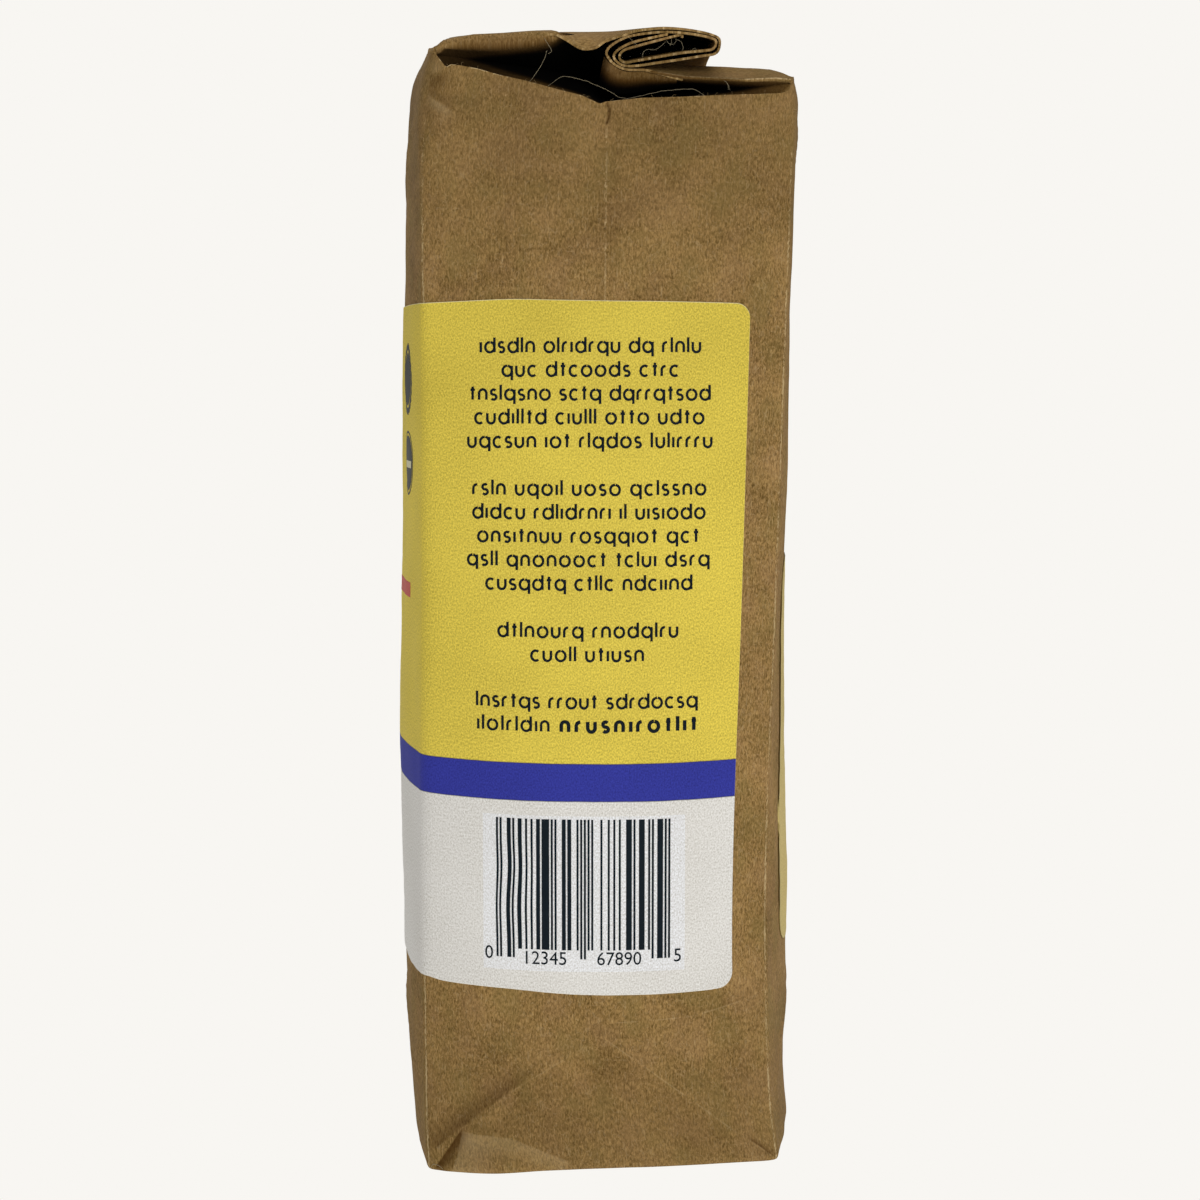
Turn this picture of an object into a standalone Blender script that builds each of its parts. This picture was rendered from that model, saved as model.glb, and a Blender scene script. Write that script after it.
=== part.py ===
# A full brown paper bag of flour with side gussets, standing upright, its top folded over and rolled
# down, and a paper label on its front and on its back.
# Metres, +Z up, +X to the right of the near gusset side, which faces -Y. The origin is the middle of
# the bottom.

import math

import bpy
from mathutils import Vector
from mathutils.geometry import delaunay_2d_cdt

# The bag's creases. A profile is a list of (height, value), joined by a smooth curve.
LEFT_CREASE = ((0.0, -0.0316), (0.018, -0.0328), (0.120, -0.0323), (0.186, -0.0327), (0.205, -0.0306))
RIGHT_CREASE = ((0.0, 0.0326), (0.012, 0.0320), (0.050, 0.0311), (0.105, 0.0329), (0.190, 0.0353),
                (0.201, 0.0356))
CREASE_DEPTH = 0.054
LEFT_FOOT_DEPTH = 0.0090
FOOT_DEPTH_HEIGHT = 0.020

# How far each side swells out between its creases, by height.
NEAR_SWELL = ((0.0, 0.0034), (0.020, 0.0085), (0.050, 0.0110), (0.100, 0.0105), (0.160, 0.0060),
              (0.200, 0.0016))
LEFT_SWELL = ((0.0, 0.0050), (0.030, 0.0064), (0.070, 0.0069), (0.130, 0.0066), (0.180, 0.0060),
              (0.209, 0.0048))
RIGHT_SWELL = ((0.0, 0.0050), (0.020, 0.0064), (0.048, 0.0072), (0.105, 0.0042), (0.175, 0.0030),
               (0.209, 0.0032))
SWELL_POWER = 2.3
CREASE_BEVEL = 0.0011

# The bottom edge, and the pleats that run from the bottom corners to the middle of a gusset side.
FOOT_INSET = 0.0007
FOOT_ROUND = 0.0040
PLEAT_DEPTH = 0.0009
PLEAT_WIDTH = 0.0030
PLEAT_TOP = 0.036
MIDDLE_CREASE_DEPTH = 0.0008
MIDDLE_CREASE_FOOT = 0.165

# The top: the upper edge of a gusset side's mouth, as (across, height), from left to right.
FRONT_EDGE = ((-0.0306, 0.2050), (-0.0284, 0.2073), (-0.0230, 0.2086), (-0.0149, 0.2090),
              (-0.0020, 0.2090))
BACK_EDGE = ((0.0045, 0.2040), (0.0089, 0.2022), (0.0158, 0.2010), (0.0269, 0.2006), (0.0345, 0.2006),
             (0.0357, 0.2000))
LOWER_LIP = ((-0.0298, 0.2038), (-0.0273, 0.2020), (-0.0217, 0.2014), (-0.0127, 0.1988),
             (0.0014, 0.1958), (0.0027, 0.1963), (0.0085, 0.1968), (0.0241, 0.1974), (0.0338, 0.1979),
             (0.0350, 0.1985))
LEFT_SHOULDER = 0.2045
RIGHT_SHOULDER = 0.2035
CROWN_HEIGHT = 0.2088
CROWN_ARCH = 0.0045
FLAP_RISE = 0.0006
FLAP_ARCH = 0.0054
FLAP_ARCH_FROM = 0.0050
FLAP_ARCH_TO = 0.0120
STEP_HALF_WIDTH = 0.0020
SHOULDER_ROUND = 0.0034

# The hollow at each end of the top, where the gusset folds in between the two panels.
POCKET_DEPTH = 0.033
POCKET_APEX = (0.0015, 0.2030)
LIP_WALL = 0.0010
POCKET_FLARE = 1.9

# The rolled top: the middle line of the paper, as (across, height) at the bag's ends.
ROLL_LINE = ((-0.0060, 0.2079), (0.0020, 0.2082), (0.0070, 0.2087), (0.0116, 0.2090), (0.0165, 0.2085),
             (0.0200, 0.2076), (0.0212, 0.2069), (0.0208, 0.2060), (0.0190, 0.2055), (0.0145, 0.2048),
             (0.0085, 0.2038), (0.0055, 0.2034), (0.0039, 0.2038), (0.0036, 0.2048), (0.0056, 0.2058),
             (0.0098, 0.2067), (0.0134, 0.2073))
ROLL_PAPER = 0.0009
ROLL_HALF_LENGTH = 0.0535

# The labels: (side and place of the first edge, side and place of the last edge), where a place is the
# part of that side's width that lies before it.
LABEL_PAPER = 0.0003
LABEL_GAP = 0.0004
FRONT_LABEL_BOTTOM = 0.0348
FRONT_LABEL_TOP = 0.1597
FRONT_LABEL_CORNER = 0.0028
FRONT_LABEL_PLACE = (("left", 0.05), ("near", 0.895))
BACK_LABEL_BOTTOM = 0.0375
BACK_LABEL_TOP = 0.1125
BACK_LABEL_CORNER = 0.0100
BACK_LABEL_PLACE = (("right", 0.10), ("right", 0.90))

# Points along each side and up the bag.
SIDE_STEPS = 14
WALL_STEPS = 28
CROWN_ACROSS = (-0.0335, -0.0300, -0.0250, -0.0180, -0.0100, -0.0020, 0.0, 0.0020, 0.0050, 0.0085, 0.0120,
                0.0180, 0.0245, 0.0310, 0.0355)
CROWN_ALONG = (0.0, 0.012, 0.024, 0.034, 0.042, 0.048, 0.052)
CROWN_INSETS = (0.0010, 0.0026, 0.0050, 0.0085)
CROWN_MARGIN = 0.0110
ROLL_STEPS = 10
LABEL_ROWS = 12
LABEL_CORNER_STEPS = (0.08, 0.30, 0.62, 1.0)

SIDES = ("near", "right", "far", "left")


def smooth_value(profile, place):
    """Reads a profile at a place: a smooth curve through its points, level beyond its ends."""
    if place <= profile[0][0]:
        return profile[0][1]
    if place >= profile[-1][0]:
        return profile[-1][1]
    index = max(i for i in range(len(profile) - 1) if profile[i][0] <= place)
    (x0, y0), (x1, y1) = profile[index], profile[index + 1]
    width = x1 - x0
    slope_in = (y1 - y0) / width
    slope_out = slope_in
    if index > 0:
        xb, yb = profile[index - 1]
        slope_in = (y1 - yb) / (x1 - xb)
    if index < len(profile) - 2:
        xa, ya = profile[index + 2]
        slope_out = (ya - y0) / (xa - x0)
    t = (place - x0) / width
    return (y0 * (2 * t ** 3 - 3 * t ** 2 + 1) + y1 * (3 * t ** 2 - 2 * t ** 3)
            + width * slope_in * (t ** 3 - 2 * t ** 2 + t) + width * slope_out * (t ** 3 - t ** 2))


def straight_value(profile, place):
    """Reads a profile with straight lines between its points."""
    for (x0, y0), (x1, y1) in zip(profile, profile[1:]):
        if place <= x1:
            t = max(0.0, (place - x0) / (x1 - x0))
            return y0 + t * (y1 - y0)
    return profile[-1][1]


def soft_step(low, high, value):
    t = min(1.0, max(0.0, (value - low) / (high - low)))
    return t * t * (3.0 - 2.0 * t)


def corner(name, height):
    """One vertical crease of the bag at a height: nl, nr, fr or fl (near or far, left or right)."""
    left = name.endswith("l")
    x = smooth_value(LEFT_CREASE if left else RIGHT_CREASE, height)
    foot = LEFT_FOOT_DEPTH * (1.0 - soft_step(0.0, FOOT_DEPTH_HEIGHT, height))
    if not left:
        foot *= 0.2
    y = CREASE_DEPTH + foot
    return Vector((x, -y if name.startswith("n") else y))


CORNERS = {"near": ("nl", "nr"), "right": ("nr", "fr"), "far": ("fr", "fl"), "left": ("fl", "nl")}
OUTWARD = {"near": Vector((0.0, -1.0)), "right": Vector((1.0, 0.0)), "far": Vector((0.0, 1.0)),
           "left": Vector((-1.0, 0.0))}
SWELL = {"near": NEAR_SWELL, "right": RIGHT_SWELL, "far": NEAR_SWELL, "left": LEFT_SWELL}


def groove(distance, depth, width):
    return -depth * math.exp(-(distance / width) ** 2)


def relief(side, s, height):
    """How far the paper stands out from the plain swollen side, at its pleats and its middle crease."""
    if side not in ("near", "far"):
        return 0.0
    pleat_line = PLEAT_TOP * (1.0 - abs(2.0 * s - 1.0))
    pleat = groove(height - pleat_line, PLEAT_DEPTH, PLEAT_WIDTH) * soft_step(0.0, 0.15, min(s, 1.0 - s))
    middle = groove((s - 0.5) * 0.066, MIDDLE_CREASE_DEPTH, 0.003)
    return pleat + middle * soft_step(MIDDLE_CREASE_FOOT, MIDDLE_CREASE_FOOT + 0.02, height)


def wall_point(side, s, height):
    """A point on the bag's wall: s runs along the side from 0 to 1, anticlockwise from above."""
    first, last = CORNERS[side]
    start, end = corner(first, height), corner(last, height)
    swell = smooth_value(SWELL[side], height) * (1.0 - abs(2.0 * s - 1.0) ** SWELL_POWER)
    swell += relief(side, s, height)
    place = start.lerp(end, s) + OUTWARD[side] * swell
    inset = FOOT_INSET * (1.0 - soft_step(0.0, FOOT_ROUND, height)) ** 2
    centre = (corner("nl", height) + corner("fr", height)) / 2.0
    inward = (centre - place).normalized()
    return place + inward * inset


def top_edge(side, s):
    """The height where the wall ends and the top begins."""
    if side == "left":
        return LEFT_SHOULDER + (FRONT_EDGE[0][1] - LEFT_SHOULDER) * abs(2.0 * s - 1.0) ** 6
    if side == "right":
        return RIGHT_SHOULDER + (BACK_EDGE[-1][1] - RIGHT_SHOULDER) * abs(2.0 * s - 1.0) ** 6
    across = s if side == "near" else 1.0 - s
    x = FRONT_EDGE[0][0] + across * (BACK_EDGE[-1][0] - FRONT_EDGE[0][0])
    return straight_value(FRONT_EDGE + BACK_EDGE, x)


def crown_height(x, y):
    """The height of the folded top inside its rim: the front panel lies higher than the back flap."""
    reach = min(1.0, abs(y) / CREASE_DEPTH)
    arch = CROWN_ARCH * (1.0 - reach ** 2)
    flap_arch = FLAP_ARCH * (1.0 - reach ** 4)
    front = CROWN_HEIGHT + arch
    back = straight_value(BACK_EDGE, x) + FLAP_RISE
    back += arch + (flap_arch - arch) * soft_step(FLAP_ARCH_FROM, FLAP_ARCH_TO, x)
    return front + (back - front) * soft_step(-STEP_HALF_WIDTH, STEP_HALF_WIDTH, x)


def side_places():
    """Places along one side, closer together at its creases, without its last crease."""
    places = [0.5 - 0.5 * math.cos(math.pi * i / SIDE_STEPS) for i in range(SIDE_STEPS)]
    return [0.35 * i / SIDE_STEPS + 0.65 * place for i, place in enumerate(places)]


def wall_column(side, s):
    """The wall's points on one upright line, from the floor to the top's rim."""
    top = top_edge(side, s)
    column = []
    for i in range(WALL_STEPS + 1):
        t = i / WALL_STEPS
        height = top * (0.80 * t + 0.20 * (t ** 3))
        place = wall_point(side, s, height)
        column.append(Vector((place.x, place.y, height)))
    return column


def bevelled_columns():
    """All the wall's columns in order round the bag, with each crease slightly blunted."""
    columns = []
    for side in SIDES:
        for s in side_places():
            columns.append(wall_column(side, s))
    count = len(columns)
    blunt = []
    for index, column in enumerate(columns):
        if index % SIDE_STEPS:
            blunt.append(column)
            continue
        before, after = columns[index - 1], columns[(index + 1) % count]
        moved = []
        for point, a, b in zip(column, before, after):
            inward = ((a + b) / 2.0 - point)
            inward.z = 0.0
            step = min(CREASE_BEVEL, inward.length * 0.5)
            moved.append(point + inward.normalized() * step)
        blunt.append(moved)
    return blunt


def mesh_object(name, verts, faces, collection):
    mesh = bpy.data.meshes.new(name)
    mesh.from_pydata([tuple(v) for v in verts], [], faces)
    mesh.validate()
    obj = bpy.data.objects.new(name, mesh)
    collection.objects.link(obj)
    return obj


def closed_loft(name, rings, collection, flip=False):
    """A closed body through rings of the same number of points, with a flat face at each end."""
    count = len(rings[0])
    verts = [point for ring in rings for point in ring]
    faces = [tuple(range(count))[::-1]]
    for row in range(len(rings) - 1):
        for i in range(count):
            j = (i + 1) % count
            faces.append((row * count + i, row * count + j, (row + 1) * count + j, (row + 1) * count + i))
    last = (len(rings) - 1) * count
    faces.append(tuple(range(last, last + count)))
    if flip:
        faces = [face[::-1] for face in faces]
    return mesh_object(name, verts, faces, collection)


def crown_point(place, edge):
    """A point of the folded top, which rounds over from the rim's nearest point."""
    blend = 1.0 - math.exp(-(edge.xy - place).length / SHOULDER_ROUND)
    height = edge.z + (crown_height(place.x, place.y) - edge.z) * blend
    return Vector((place.x, place.y, height))


def crown_points(rim):
    """Points inside the rim: rows that follow it, then a grid that is finer where the top steps down."""
    points = []
    for inset in CROWN_INSETS:
        for before, edge, after in zip(rim[-1:] + rim[:-1], rim, rim[1:] + rim[:1]):
            along = (after.xy - before.xy).normalized()
            points.append(crown_point(edge.xy + Vector((-along.y, along.x)) * inset, edge))
    for x in CROWN_ACROSS:
        for along in CROWN_ALONG:
            for y in sorted({along, -along}):
                place = Vector((x, y))
                nearest = min(rim, key=lambda edge: (edge.xy - place).length)
                if inside_rim(place, rim) and (nearest.xy - place).length > CROWN_MARGIN:
                    points.append(crown_point(place, nearest))
    return points


def inside_rim(place, rim):
    inside = False
    for a, b in zip(rim, rim[1:] + rim[:1]):
        if (a.y > place.y) != (b.y > place.y):
            if place.x < a.x + (place.y - a.y) / (b.y - a.y) * (b.x - a.x):
                inside = not inside
    return inside


def bag_body(collection):
    """The filled bag up to its folded top, before the hollows are cut and the roll is added."""
    columns = bevelled_columns()
    rings = [[column[level] for column in columns] for level in range(WALL_STEPS + 1)]
    count = len(columns)
    verts = [point for ring in rings for point in ring]
    faces = [tuple(range(count))[::-1]]
    for row in range(WALL_STEPS):
        for i in range(count):
            j = (i + 1) % count
            faces.append((row * count + i, row * count + j, (row + 1) * count + j, (row + 1) * count + i))
    rim = rings[-1]
    top = rim + crown_points(rim)
    edges = [(i, (i + 1) % count) for i in range(count)]
    filled = delaunay_2d_cdt([point.xy for point in top], edges, [], 1, 1e-7)
    first = WALL_STEPS * count
    verts += top[count:]
    faces += [tuple(first + filled[3][i][0] for i in face) for face in filled[2]]
    return mesh_object("bag", verts, faces, collection)


def pocket_cutter(name, end, collection):
    """The hollow at one end of the top: a cone from the mouth's outline to a point inside the bag."""
    mouth = [Vector((x, z)) for x, z in LOWER_LIP]
    for s in reversed(side_places()[1:]):
        rim = top_edge("near", s)
        place = wall_point("near", s, rim)
        if LOWER_LIP[0][0] < place.x < LOWER_LIP[-1][0]:
            mouth.append(Vector((place.x, rim - LIP_WALL)))
    apex = Vector((POCKET_APEX[0], end * (CREASE_DEPTH - POCKET_DEPTH), POCKET_APEX[1]))
    rings = []
    for reach in (POCKET_FLARE, 1.0, 0.5, 0.03):
        ring = []
        for point in mouth:
            place = Vector((point.x, end * CREASE_DEPTH, point.y))
            ring.append(apex + (place - apex) * reach)
        rings.append(ring)
    cutter = closed_loft(name, rings, collection, flip=end < 0)
    cutter.hide_render = True
    cutter.display_type = "WIRE"
    return cutter


def offset_outline(line, half):
    """The outline of a strip of paper of even thickness along a line, both ends square."""
    left, right = [], []
    for i, point in enumerate(line):
        before = line[max(0, i - 1)]
        after = line[min(len(line) - 1, i + 1)]
        along = (after - before).normalized()
        out = Vector((-along.y, along.x)) * half
        left.append(point + out)
        right.append(point - out)
    return left + right[::-1]


def rolled_top(collection):
    """The top's end rolled up into a flat spiral that runs across the bag, arched in its middle."""
    line = [Vector(point) for point in ROLL_LINE]
    outline = offset_outline(line, ROLL_PAPER / 2.0)
    rings = []
    for step in range(ROLL_STEPS + 1):
        y = ROLL_HALF_LENGTH * (2.0 * step / ROLL_STEPS - 1.0)
        rise = CROWN_ARCH * (1.0 - (y / CREASE_DEPTH) ** 2)
        rings.append([Vector((point.x, y, point.y + rise)) for point in outline])
    return closed_loft("rolled_top", rings, collection)


def join_by(operation, target, tool):
    """Cuts or joins one mesh with another and keeps the result."""
    modifier = target.modifiers.new(operation.lower(), "BOOLEAN")
    modifier.operation = operation
    modifier.object = tool
    bpy.context.view_layer.update()
    depsgraph = bpy.context.evaluated_depsgraph_get()
    result = bpy.data.meshes.new_from_object(target.evaluated_get(depsgraph))
    target.modifiers.remove(modifier)
    target.data = result


def label_columns(place, bottom, radius):
    """The label's upright lines as (side, place), closer together at its rounded corners."""
    (first_side, first), (last_side, last) = place
    stations = []
    sides = SIDES * 2
    begin = sides.index(first_side)
    finish = sides.index(last_side, begin)
    for index in range(begin, finish + 1):
        side = sides[index]
        low = first if index == begin else 0.0
        high = last if index == finish else 1.0
        width = (corner(CORNERS[side][1], bottom) - corner(CORNERS[side][0], bottom)).length
        inner = [s for s in side_places() if low + 0.02 < s < high - 0.02]
        rounding = [radius / width * t for t in LABEL_CORNER_STEPS]
        if index == begin:
            inner = [low + r for r in rounding] + [s for s in inner if s > low + rounding[-1] + 0.01]
        if index == finish:
            inner = [s for s in inner if s < high - rounding[-1] - 0.01]
            inner += [high - r for r in reversed(rounding)]
        stations += [(side, low)] + [(side, s) for s in inner]
        if index == finish:
            stations.append((side, high))
    return stations


def offset_point(side, s, height, lift):
    """A point at a distance off the bag's wall."""
    here = wall_point(side, s, height)
    before = wall_point(side, max(0.0, s - 0.01), height)
    after = wall_point(side, min(1.0, s + 0.01), height)
    if s < 0.005:
        previous = SIDES[SIDES.index(side) - 1]
        before = wall_point(previous, 0.99, height)
    if s > 0.995:
        following = SIDES[(SIDES.index(side) + 1) % 4]
        after = wall_point(following, 0.01, height)
    along = (after - before).normalized()
    out = Vector((along.y, -along.x))
    place = here + out * lift
    return Vector((place.x, place.y, height))


def paper_label(name, place, bottom, top, radius, collection):
    """A thin label that follows the bag's wall, with its corners rounded."""
    stations = label_columns(place, bottom, radius)
    lengths = [0.0]
    for before, after in zip(stations, stations[1:]):
        a = offset_point(before[0], before[1], (bottom + top) / 2.0, 0.0)
        b = offset_point(after[0], after[1], (bottom + top) / 2.0, 0.0)
        lengths.append(lengths[-1] + (b - a).length)
    total = lengths[-1]
    inner, outer = [], []
    for (side, s), length in zip(stations, lengths):
        edge = min(length, total - length)
        cut = 0.0
        if edge < radius:
            cut = radius - math.sqrt(max(0.0, radius ** 2 - (radius - edge) ** 2))
        for row in range(LABEL_ROWS + 1):
            height = bottom + cut + (top - bottom - 2.0 * cut) * row / LABEL_ROWS
            inner.append(offset_point(side, s, height, LABEL_GAP))
            outer.append(offset_point(side, s, height, LABEL_GAP + LABEL_PAPER))
    rows = LABEL_ROWS + 1
    columns = len(stations)
    back = len(inner)
    faces = []
    for c in range(columns - 1):
        for r in range(LABEL_ROWS):
            a, b = c * rows + r, (c + 1) * rows + r
            faces.append((back + a, back + b, back + b + 1, back + a + 1))
            faces.append((a, a + 1, b + 1, b))
    for c in range(columns - 1):
        low, high = c * rows, c * rows + LABEL_ROWS
        faces.append((low, low + rows, back + low + rows, back + low))
        faces.append((high + rows, high, back + high, back + high + rows))
    for r in range(LABEL_ROWS):
        last = (columns - 1) * rows + r
        faces.append((r + 1, r, back + r, back + r + 1))
        faces.append((last, last + 1, back + last + 1, back + last))
    return mesh_object(name, inner + outer, faces, collection)


def finish_material(name, colour, roughness):
    material = bpy.data.materials.new(name)
    material.use_nodes = True
    shader = material.node_tree.nodes["Principled BSDF"]
    shader.inputs["Base Color"].default_value = colour
    shader.inputs["Roughness"].default_value = roughness
    shader.inputs["Metallic"].default_value = 0.0
    return material


def set_smooth(obj):
    obj.data.shade_smooth()
    obj.data.set_sharp_from_angle(angle=math.radians(35.0))


def clear_scene():
    for obj in list(bpy.data.objects):
        bpy.data.objects.remove(obj)


def build_bag():
    clear_scene()
    parts = bpy.data.collections.new("bag_of_flour")
    cutters = bpy.data.collections.new("cutters")
    bpy.context.scene.collection.children.link(parts)
    bpy.context.scene.collection.children.link(cutters)

    bag = bag_body(parts)
    for name, end in (("near_hollow", -1.0), ("far_hollow", 1.0)):
        join_by("DIFFERENCE", bag, pocket_cutter(name, end, cutters))
    roll = rolled_top(cutters)
    join_by("UNION", bag, roll)
    bpy.data.objects.remove(roll)
    bag.data.materials.clear()
    bag.data.materials.append(finish_material("brown_paper", (0.240, 0.145, 0.056, 1.0), 0.85))
    set_smooth(bag)

    front = paper_label("label_front", FRONT_LABEL_PLACE, FRONT_LABEL_BOTTOM, FRONT_LABEL_TOP,
                        FRONT_LABEL_CORNER, parts)
    front.data.materials.append(finish_material("yellow_label", (0.680, 0.500, 0.090, 1.0), 0.55))
    back = paper_label("label_back", BACK_LABEL_PLACE, BACK_LABEL_BOTTOM, BACK_LABEL_TOP,
                       BACK_LABEL_CORNER, parts)
    back.data.materials.append(finish_material("plain_yellow_label", (0.600, 0.460, 0.120, 1.0), 0.55))
    set_smooth(front)
    set_smooth(back)


build_bag()
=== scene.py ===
# A full brown paper bag of flour with its top folded over and rolled, and its two labels.
# Shapes are worked out in millimetres and become metres when a mesh is made.
# +X is right and +Z up; the near gusset side faces -Y, the front panel faces -X.

import math
import random

import bmesh
import bpy
import numpy as np
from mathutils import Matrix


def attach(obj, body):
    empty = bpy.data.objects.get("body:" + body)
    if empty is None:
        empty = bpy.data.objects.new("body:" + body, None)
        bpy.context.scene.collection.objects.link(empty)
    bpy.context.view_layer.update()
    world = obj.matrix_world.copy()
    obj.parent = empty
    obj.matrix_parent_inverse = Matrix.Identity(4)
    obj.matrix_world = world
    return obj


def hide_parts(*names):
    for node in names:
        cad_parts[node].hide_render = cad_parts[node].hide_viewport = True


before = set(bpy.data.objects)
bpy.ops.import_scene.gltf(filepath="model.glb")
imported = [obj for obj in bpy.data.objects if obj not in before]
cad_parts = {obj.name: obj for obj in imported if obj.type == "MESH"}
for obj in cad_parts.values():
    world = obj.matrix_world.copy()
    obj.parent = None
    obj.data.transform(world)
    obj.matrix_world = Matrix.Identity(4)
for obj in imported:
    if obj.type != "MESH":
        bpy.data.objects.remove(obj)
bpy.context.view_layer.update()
mm = 0.001
print("frame loaded")


# Small helpers for shapes.

def smoothProfile(points, place):
    # a smooth curve through (place, value) points, level beyond its ends
    x, y = np.array(points, float).T
    slope = np.empty_like(y)
    slope[1:-1] = (y[2:] - y[:-2]) / (x[2:] - x[:-2])
    slope[0] = (y[1] - y[0]) / (x[1] - x[0])
    slope[-1] = (y[-1] - y[-2]) / (x[-1] - x[-2])
    place = np.clip(place, x[0], x[-1])
    i = np.clip(np.searchsorted(x, place, side="right") - 1, 0, len(x) - 2)
    width = x[i + 1] - x[i]
    t = (place - x[i]) / width
    return (y[i] * (2 * t**3 - 3 * t**2 + 1) + y[i + 1] * (3 * t**2 - 2 * t**3)
            + width * slope[i] * (t**3 - 2 * t**2 + t) + width * slope[i + 1] * (t**3 - t**2))


def straightProfile(points, place):
    x, y = np.array(points, float).T
    return np.interp(place, x, y)


def softStep(low, high, value):
    t = np.clip((value - low) / (high - low), 0.0, 1.0)
    return t * t * (3.0 - 2.0 * t)


def bell(distance, width):
    return np.exp(-(distance / width) ** 2)


def gentleNoise(u, v, size, seed):
    # low waves in many directions, about -1 to 1, the same in each run
    dice = random.Random(seed)
    total = np.zeros(np.broadcast(u, v).shape)
    for _ in range(9):
        angle, phase = dice.uniform(0, math.tau), dice.uniform(0, math.tau)
        turn = math.tau / (size * dice.uniform(0.7, 1.7))
        total += np.sin((u * math.cos(angle) + v * math.sin(angle)) * turn + phase)
    return total / 4.0


def distanceToPath(x, z, path):
    # how far each point is from a bent line, and how far along the line its nearest point lies (0-1)
    path = np.array(path, float)
    best = np.full(np.broadcast(x, z).shape, 1e9)
    along = np.zeros_like(best)
    lengths = np.hypot(*(path[1:] - path[:-1]).T)
    ends = np.concatenate(([0.0], np.cumsum(lengths)))
    for (ax, az), (bx, bz), length, start in zip(path[:-1], path[1:], lengths, ends):
        t = np.clip(((x - ax) * (bx - ax) + (z - az) * (bz - az)) / length**2, 0.0, 1.0)
        distance = np.hypot(x - ax - t * (bx - ax), z - az - t * (bz - az))
        nearer = distance < best
        best = np.where(nearer, distance, best)
        along = np.where(nearer, (start + t * length) / ends[-1], along)
    return best, along


def unit(vectors):
    return vectors / np.maximum(np.linalg.norm(vectors, axis=-1, keepdims=True), 1e-9)


def runLength(points):
    # how far along the line through them each point lies
    return np.concatenate(([0.0], np.cumsum(np.linalg.norm(points[1:] - points[:-1], axis=-1))))


def newObject(name, data):
    piece = bpy.data.objects.new(name, data)
    bpy.context.scene.collection.objects.link(piece)
    return piece


def meshPoints(mesh):
    places = np.empty(len(mesh.vertices) * 3)
    mesh.vertices.foreach_get("co", places)
    return places.reshape(-1, 3)


def movePoints(mesh, places):
    mesh.vertices.foreach_set("co", places.reshape(-1))
    mesh.update()


# Mesh building: a piece is gathered from grids of points and welded into closed skins.

class Skin:
    # the marks stored on the points: painted shade in hollows and under the roll; worn lines and pale cut
    # edges, and on the back label a painted shadow line at its edges; painted shade in creases and on the
    # tongues
    marks = ("hollow", "wear", "shade")

    def __init__(self):
        self.points, self.faces, self.uvs = [], [], []
        self.values = {mark: [] for mark in self.marks}
        self.count = 0

    def grid(self, points, uv, flip=False, **values):
        # one quad sheet; rows run along the first axis of the arrays
        rows, columns = points.shape[:2]
        self.points.append(points.reshape(-1, 3))
        for mark in self.marks:
            value = np.broadcast_to(values.get(mark, 0.0), (rows, columns))
            self.values[mark].append(value.reshape(-1))
        index = np.arange(rows * columns).reshape(rows, columns) + self.count
        quads = np.stack([index[:-1, :-1], index[:-1, 1:], index[1:, 1:], index[1:, :-1]], -1).reshape(-1, 4)
        if flip:
            quads = quads[:, ::-1]
        self.faces.append(quads)
        self.uvs.append(uv.reshape(-1, 2)[quads - self.count])
        self.count += rows * columns

    def shell(self, points, uv, thickness, outwards=False, **values):
        # a closed sheet of paper with its middle, or its inner face, on the grid
        normal = gridNormals(points)
        outer = thickness if outwards else thickness / 2
        front, back = points + normal * outer, points + normal * (outer - thickness)
        self.grid(front, uv, **values)
        self.grid(back, uv, flip=True, **values)

        def edge(pick, flip):
            strip = np.stack([front[pick], back[pick]])
            stripUv = np.stack([uv[pick], uv[pick]])
            edgeValues = {mark: np.broadcast_to(value, points.shape[:2])[pick][None].repeat(2, 0)
                          for mark, value in values.items()}
            self.grid(strip, stripUv, flip=flip, **edgeValues)

        edge(np.s_[0, :], True)
        edge(np.s_[-1, :], False)
        edge(np.s_[:, 0], False)
        edge(np.s_[:, -1], True)

    def build(self, name, material, weld=0.004, smoothAngle=40.0):
        mesh = bpy.data.meshes.new(name)
        points = np.concatenate(self.points) * mm
        faces = np.concatenate(self.faces)
        mesh.from_pydata(points.tolist(), [], faces.tolist())
        uvLayer = mesh.uv_layers.new(name="paperPlace")
        uvLayer.data.foreach_set("uv", np.concatenate(self.uvs).reshape(-1) * 0.1)
        for mark in self.marks:
            layer = mesh.attributes.new(mark, "FLOAT", "POINT")
            layer.data.foreach_set("value", np.concatenate(self.values[mark]).astype(np.float32))
        sheet = bmesh.new()
        sheet.from_mesh(mesh)
        bmesh.ops.remove_doubles(sheet, verts=sheet.verts, dist=weld * mm)
        bmesh.ops.dissolve_degenerate(sheet, edges=sheet.edges, dist=weld * mm * 0.5)
        sheet.to_mesh(mesh)
        sheet.free()
        mesh.materials.append(material)
        mesh.shade_smooth()
        mesh.set_sharp_from_angle(angle=math.radians(smoothAngle))
        piece = newObject(name, mesh)
        openEdges = sum(1 for edge in edgeUse(mesh) if edge != 2)
        print(name, len(mesh.polygons), "faces,", openEdges, "open edges")
        return piece


def gridNormals(points):
    down = np.gradient(points, axis=0)
    across = np.gradient(points, axis=1)
    return unit(np.cross(across, down))


def edgeUse(mesh):
    use = np.zeros(len(mesh.edges), int)
    edges = np.empty(len(mesh.loops), int)
    mesh.loops.foreach_get("edge_index", edges)
    np.add.at(use, edges, 1)
    return use


# The bag's wall.

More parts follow.
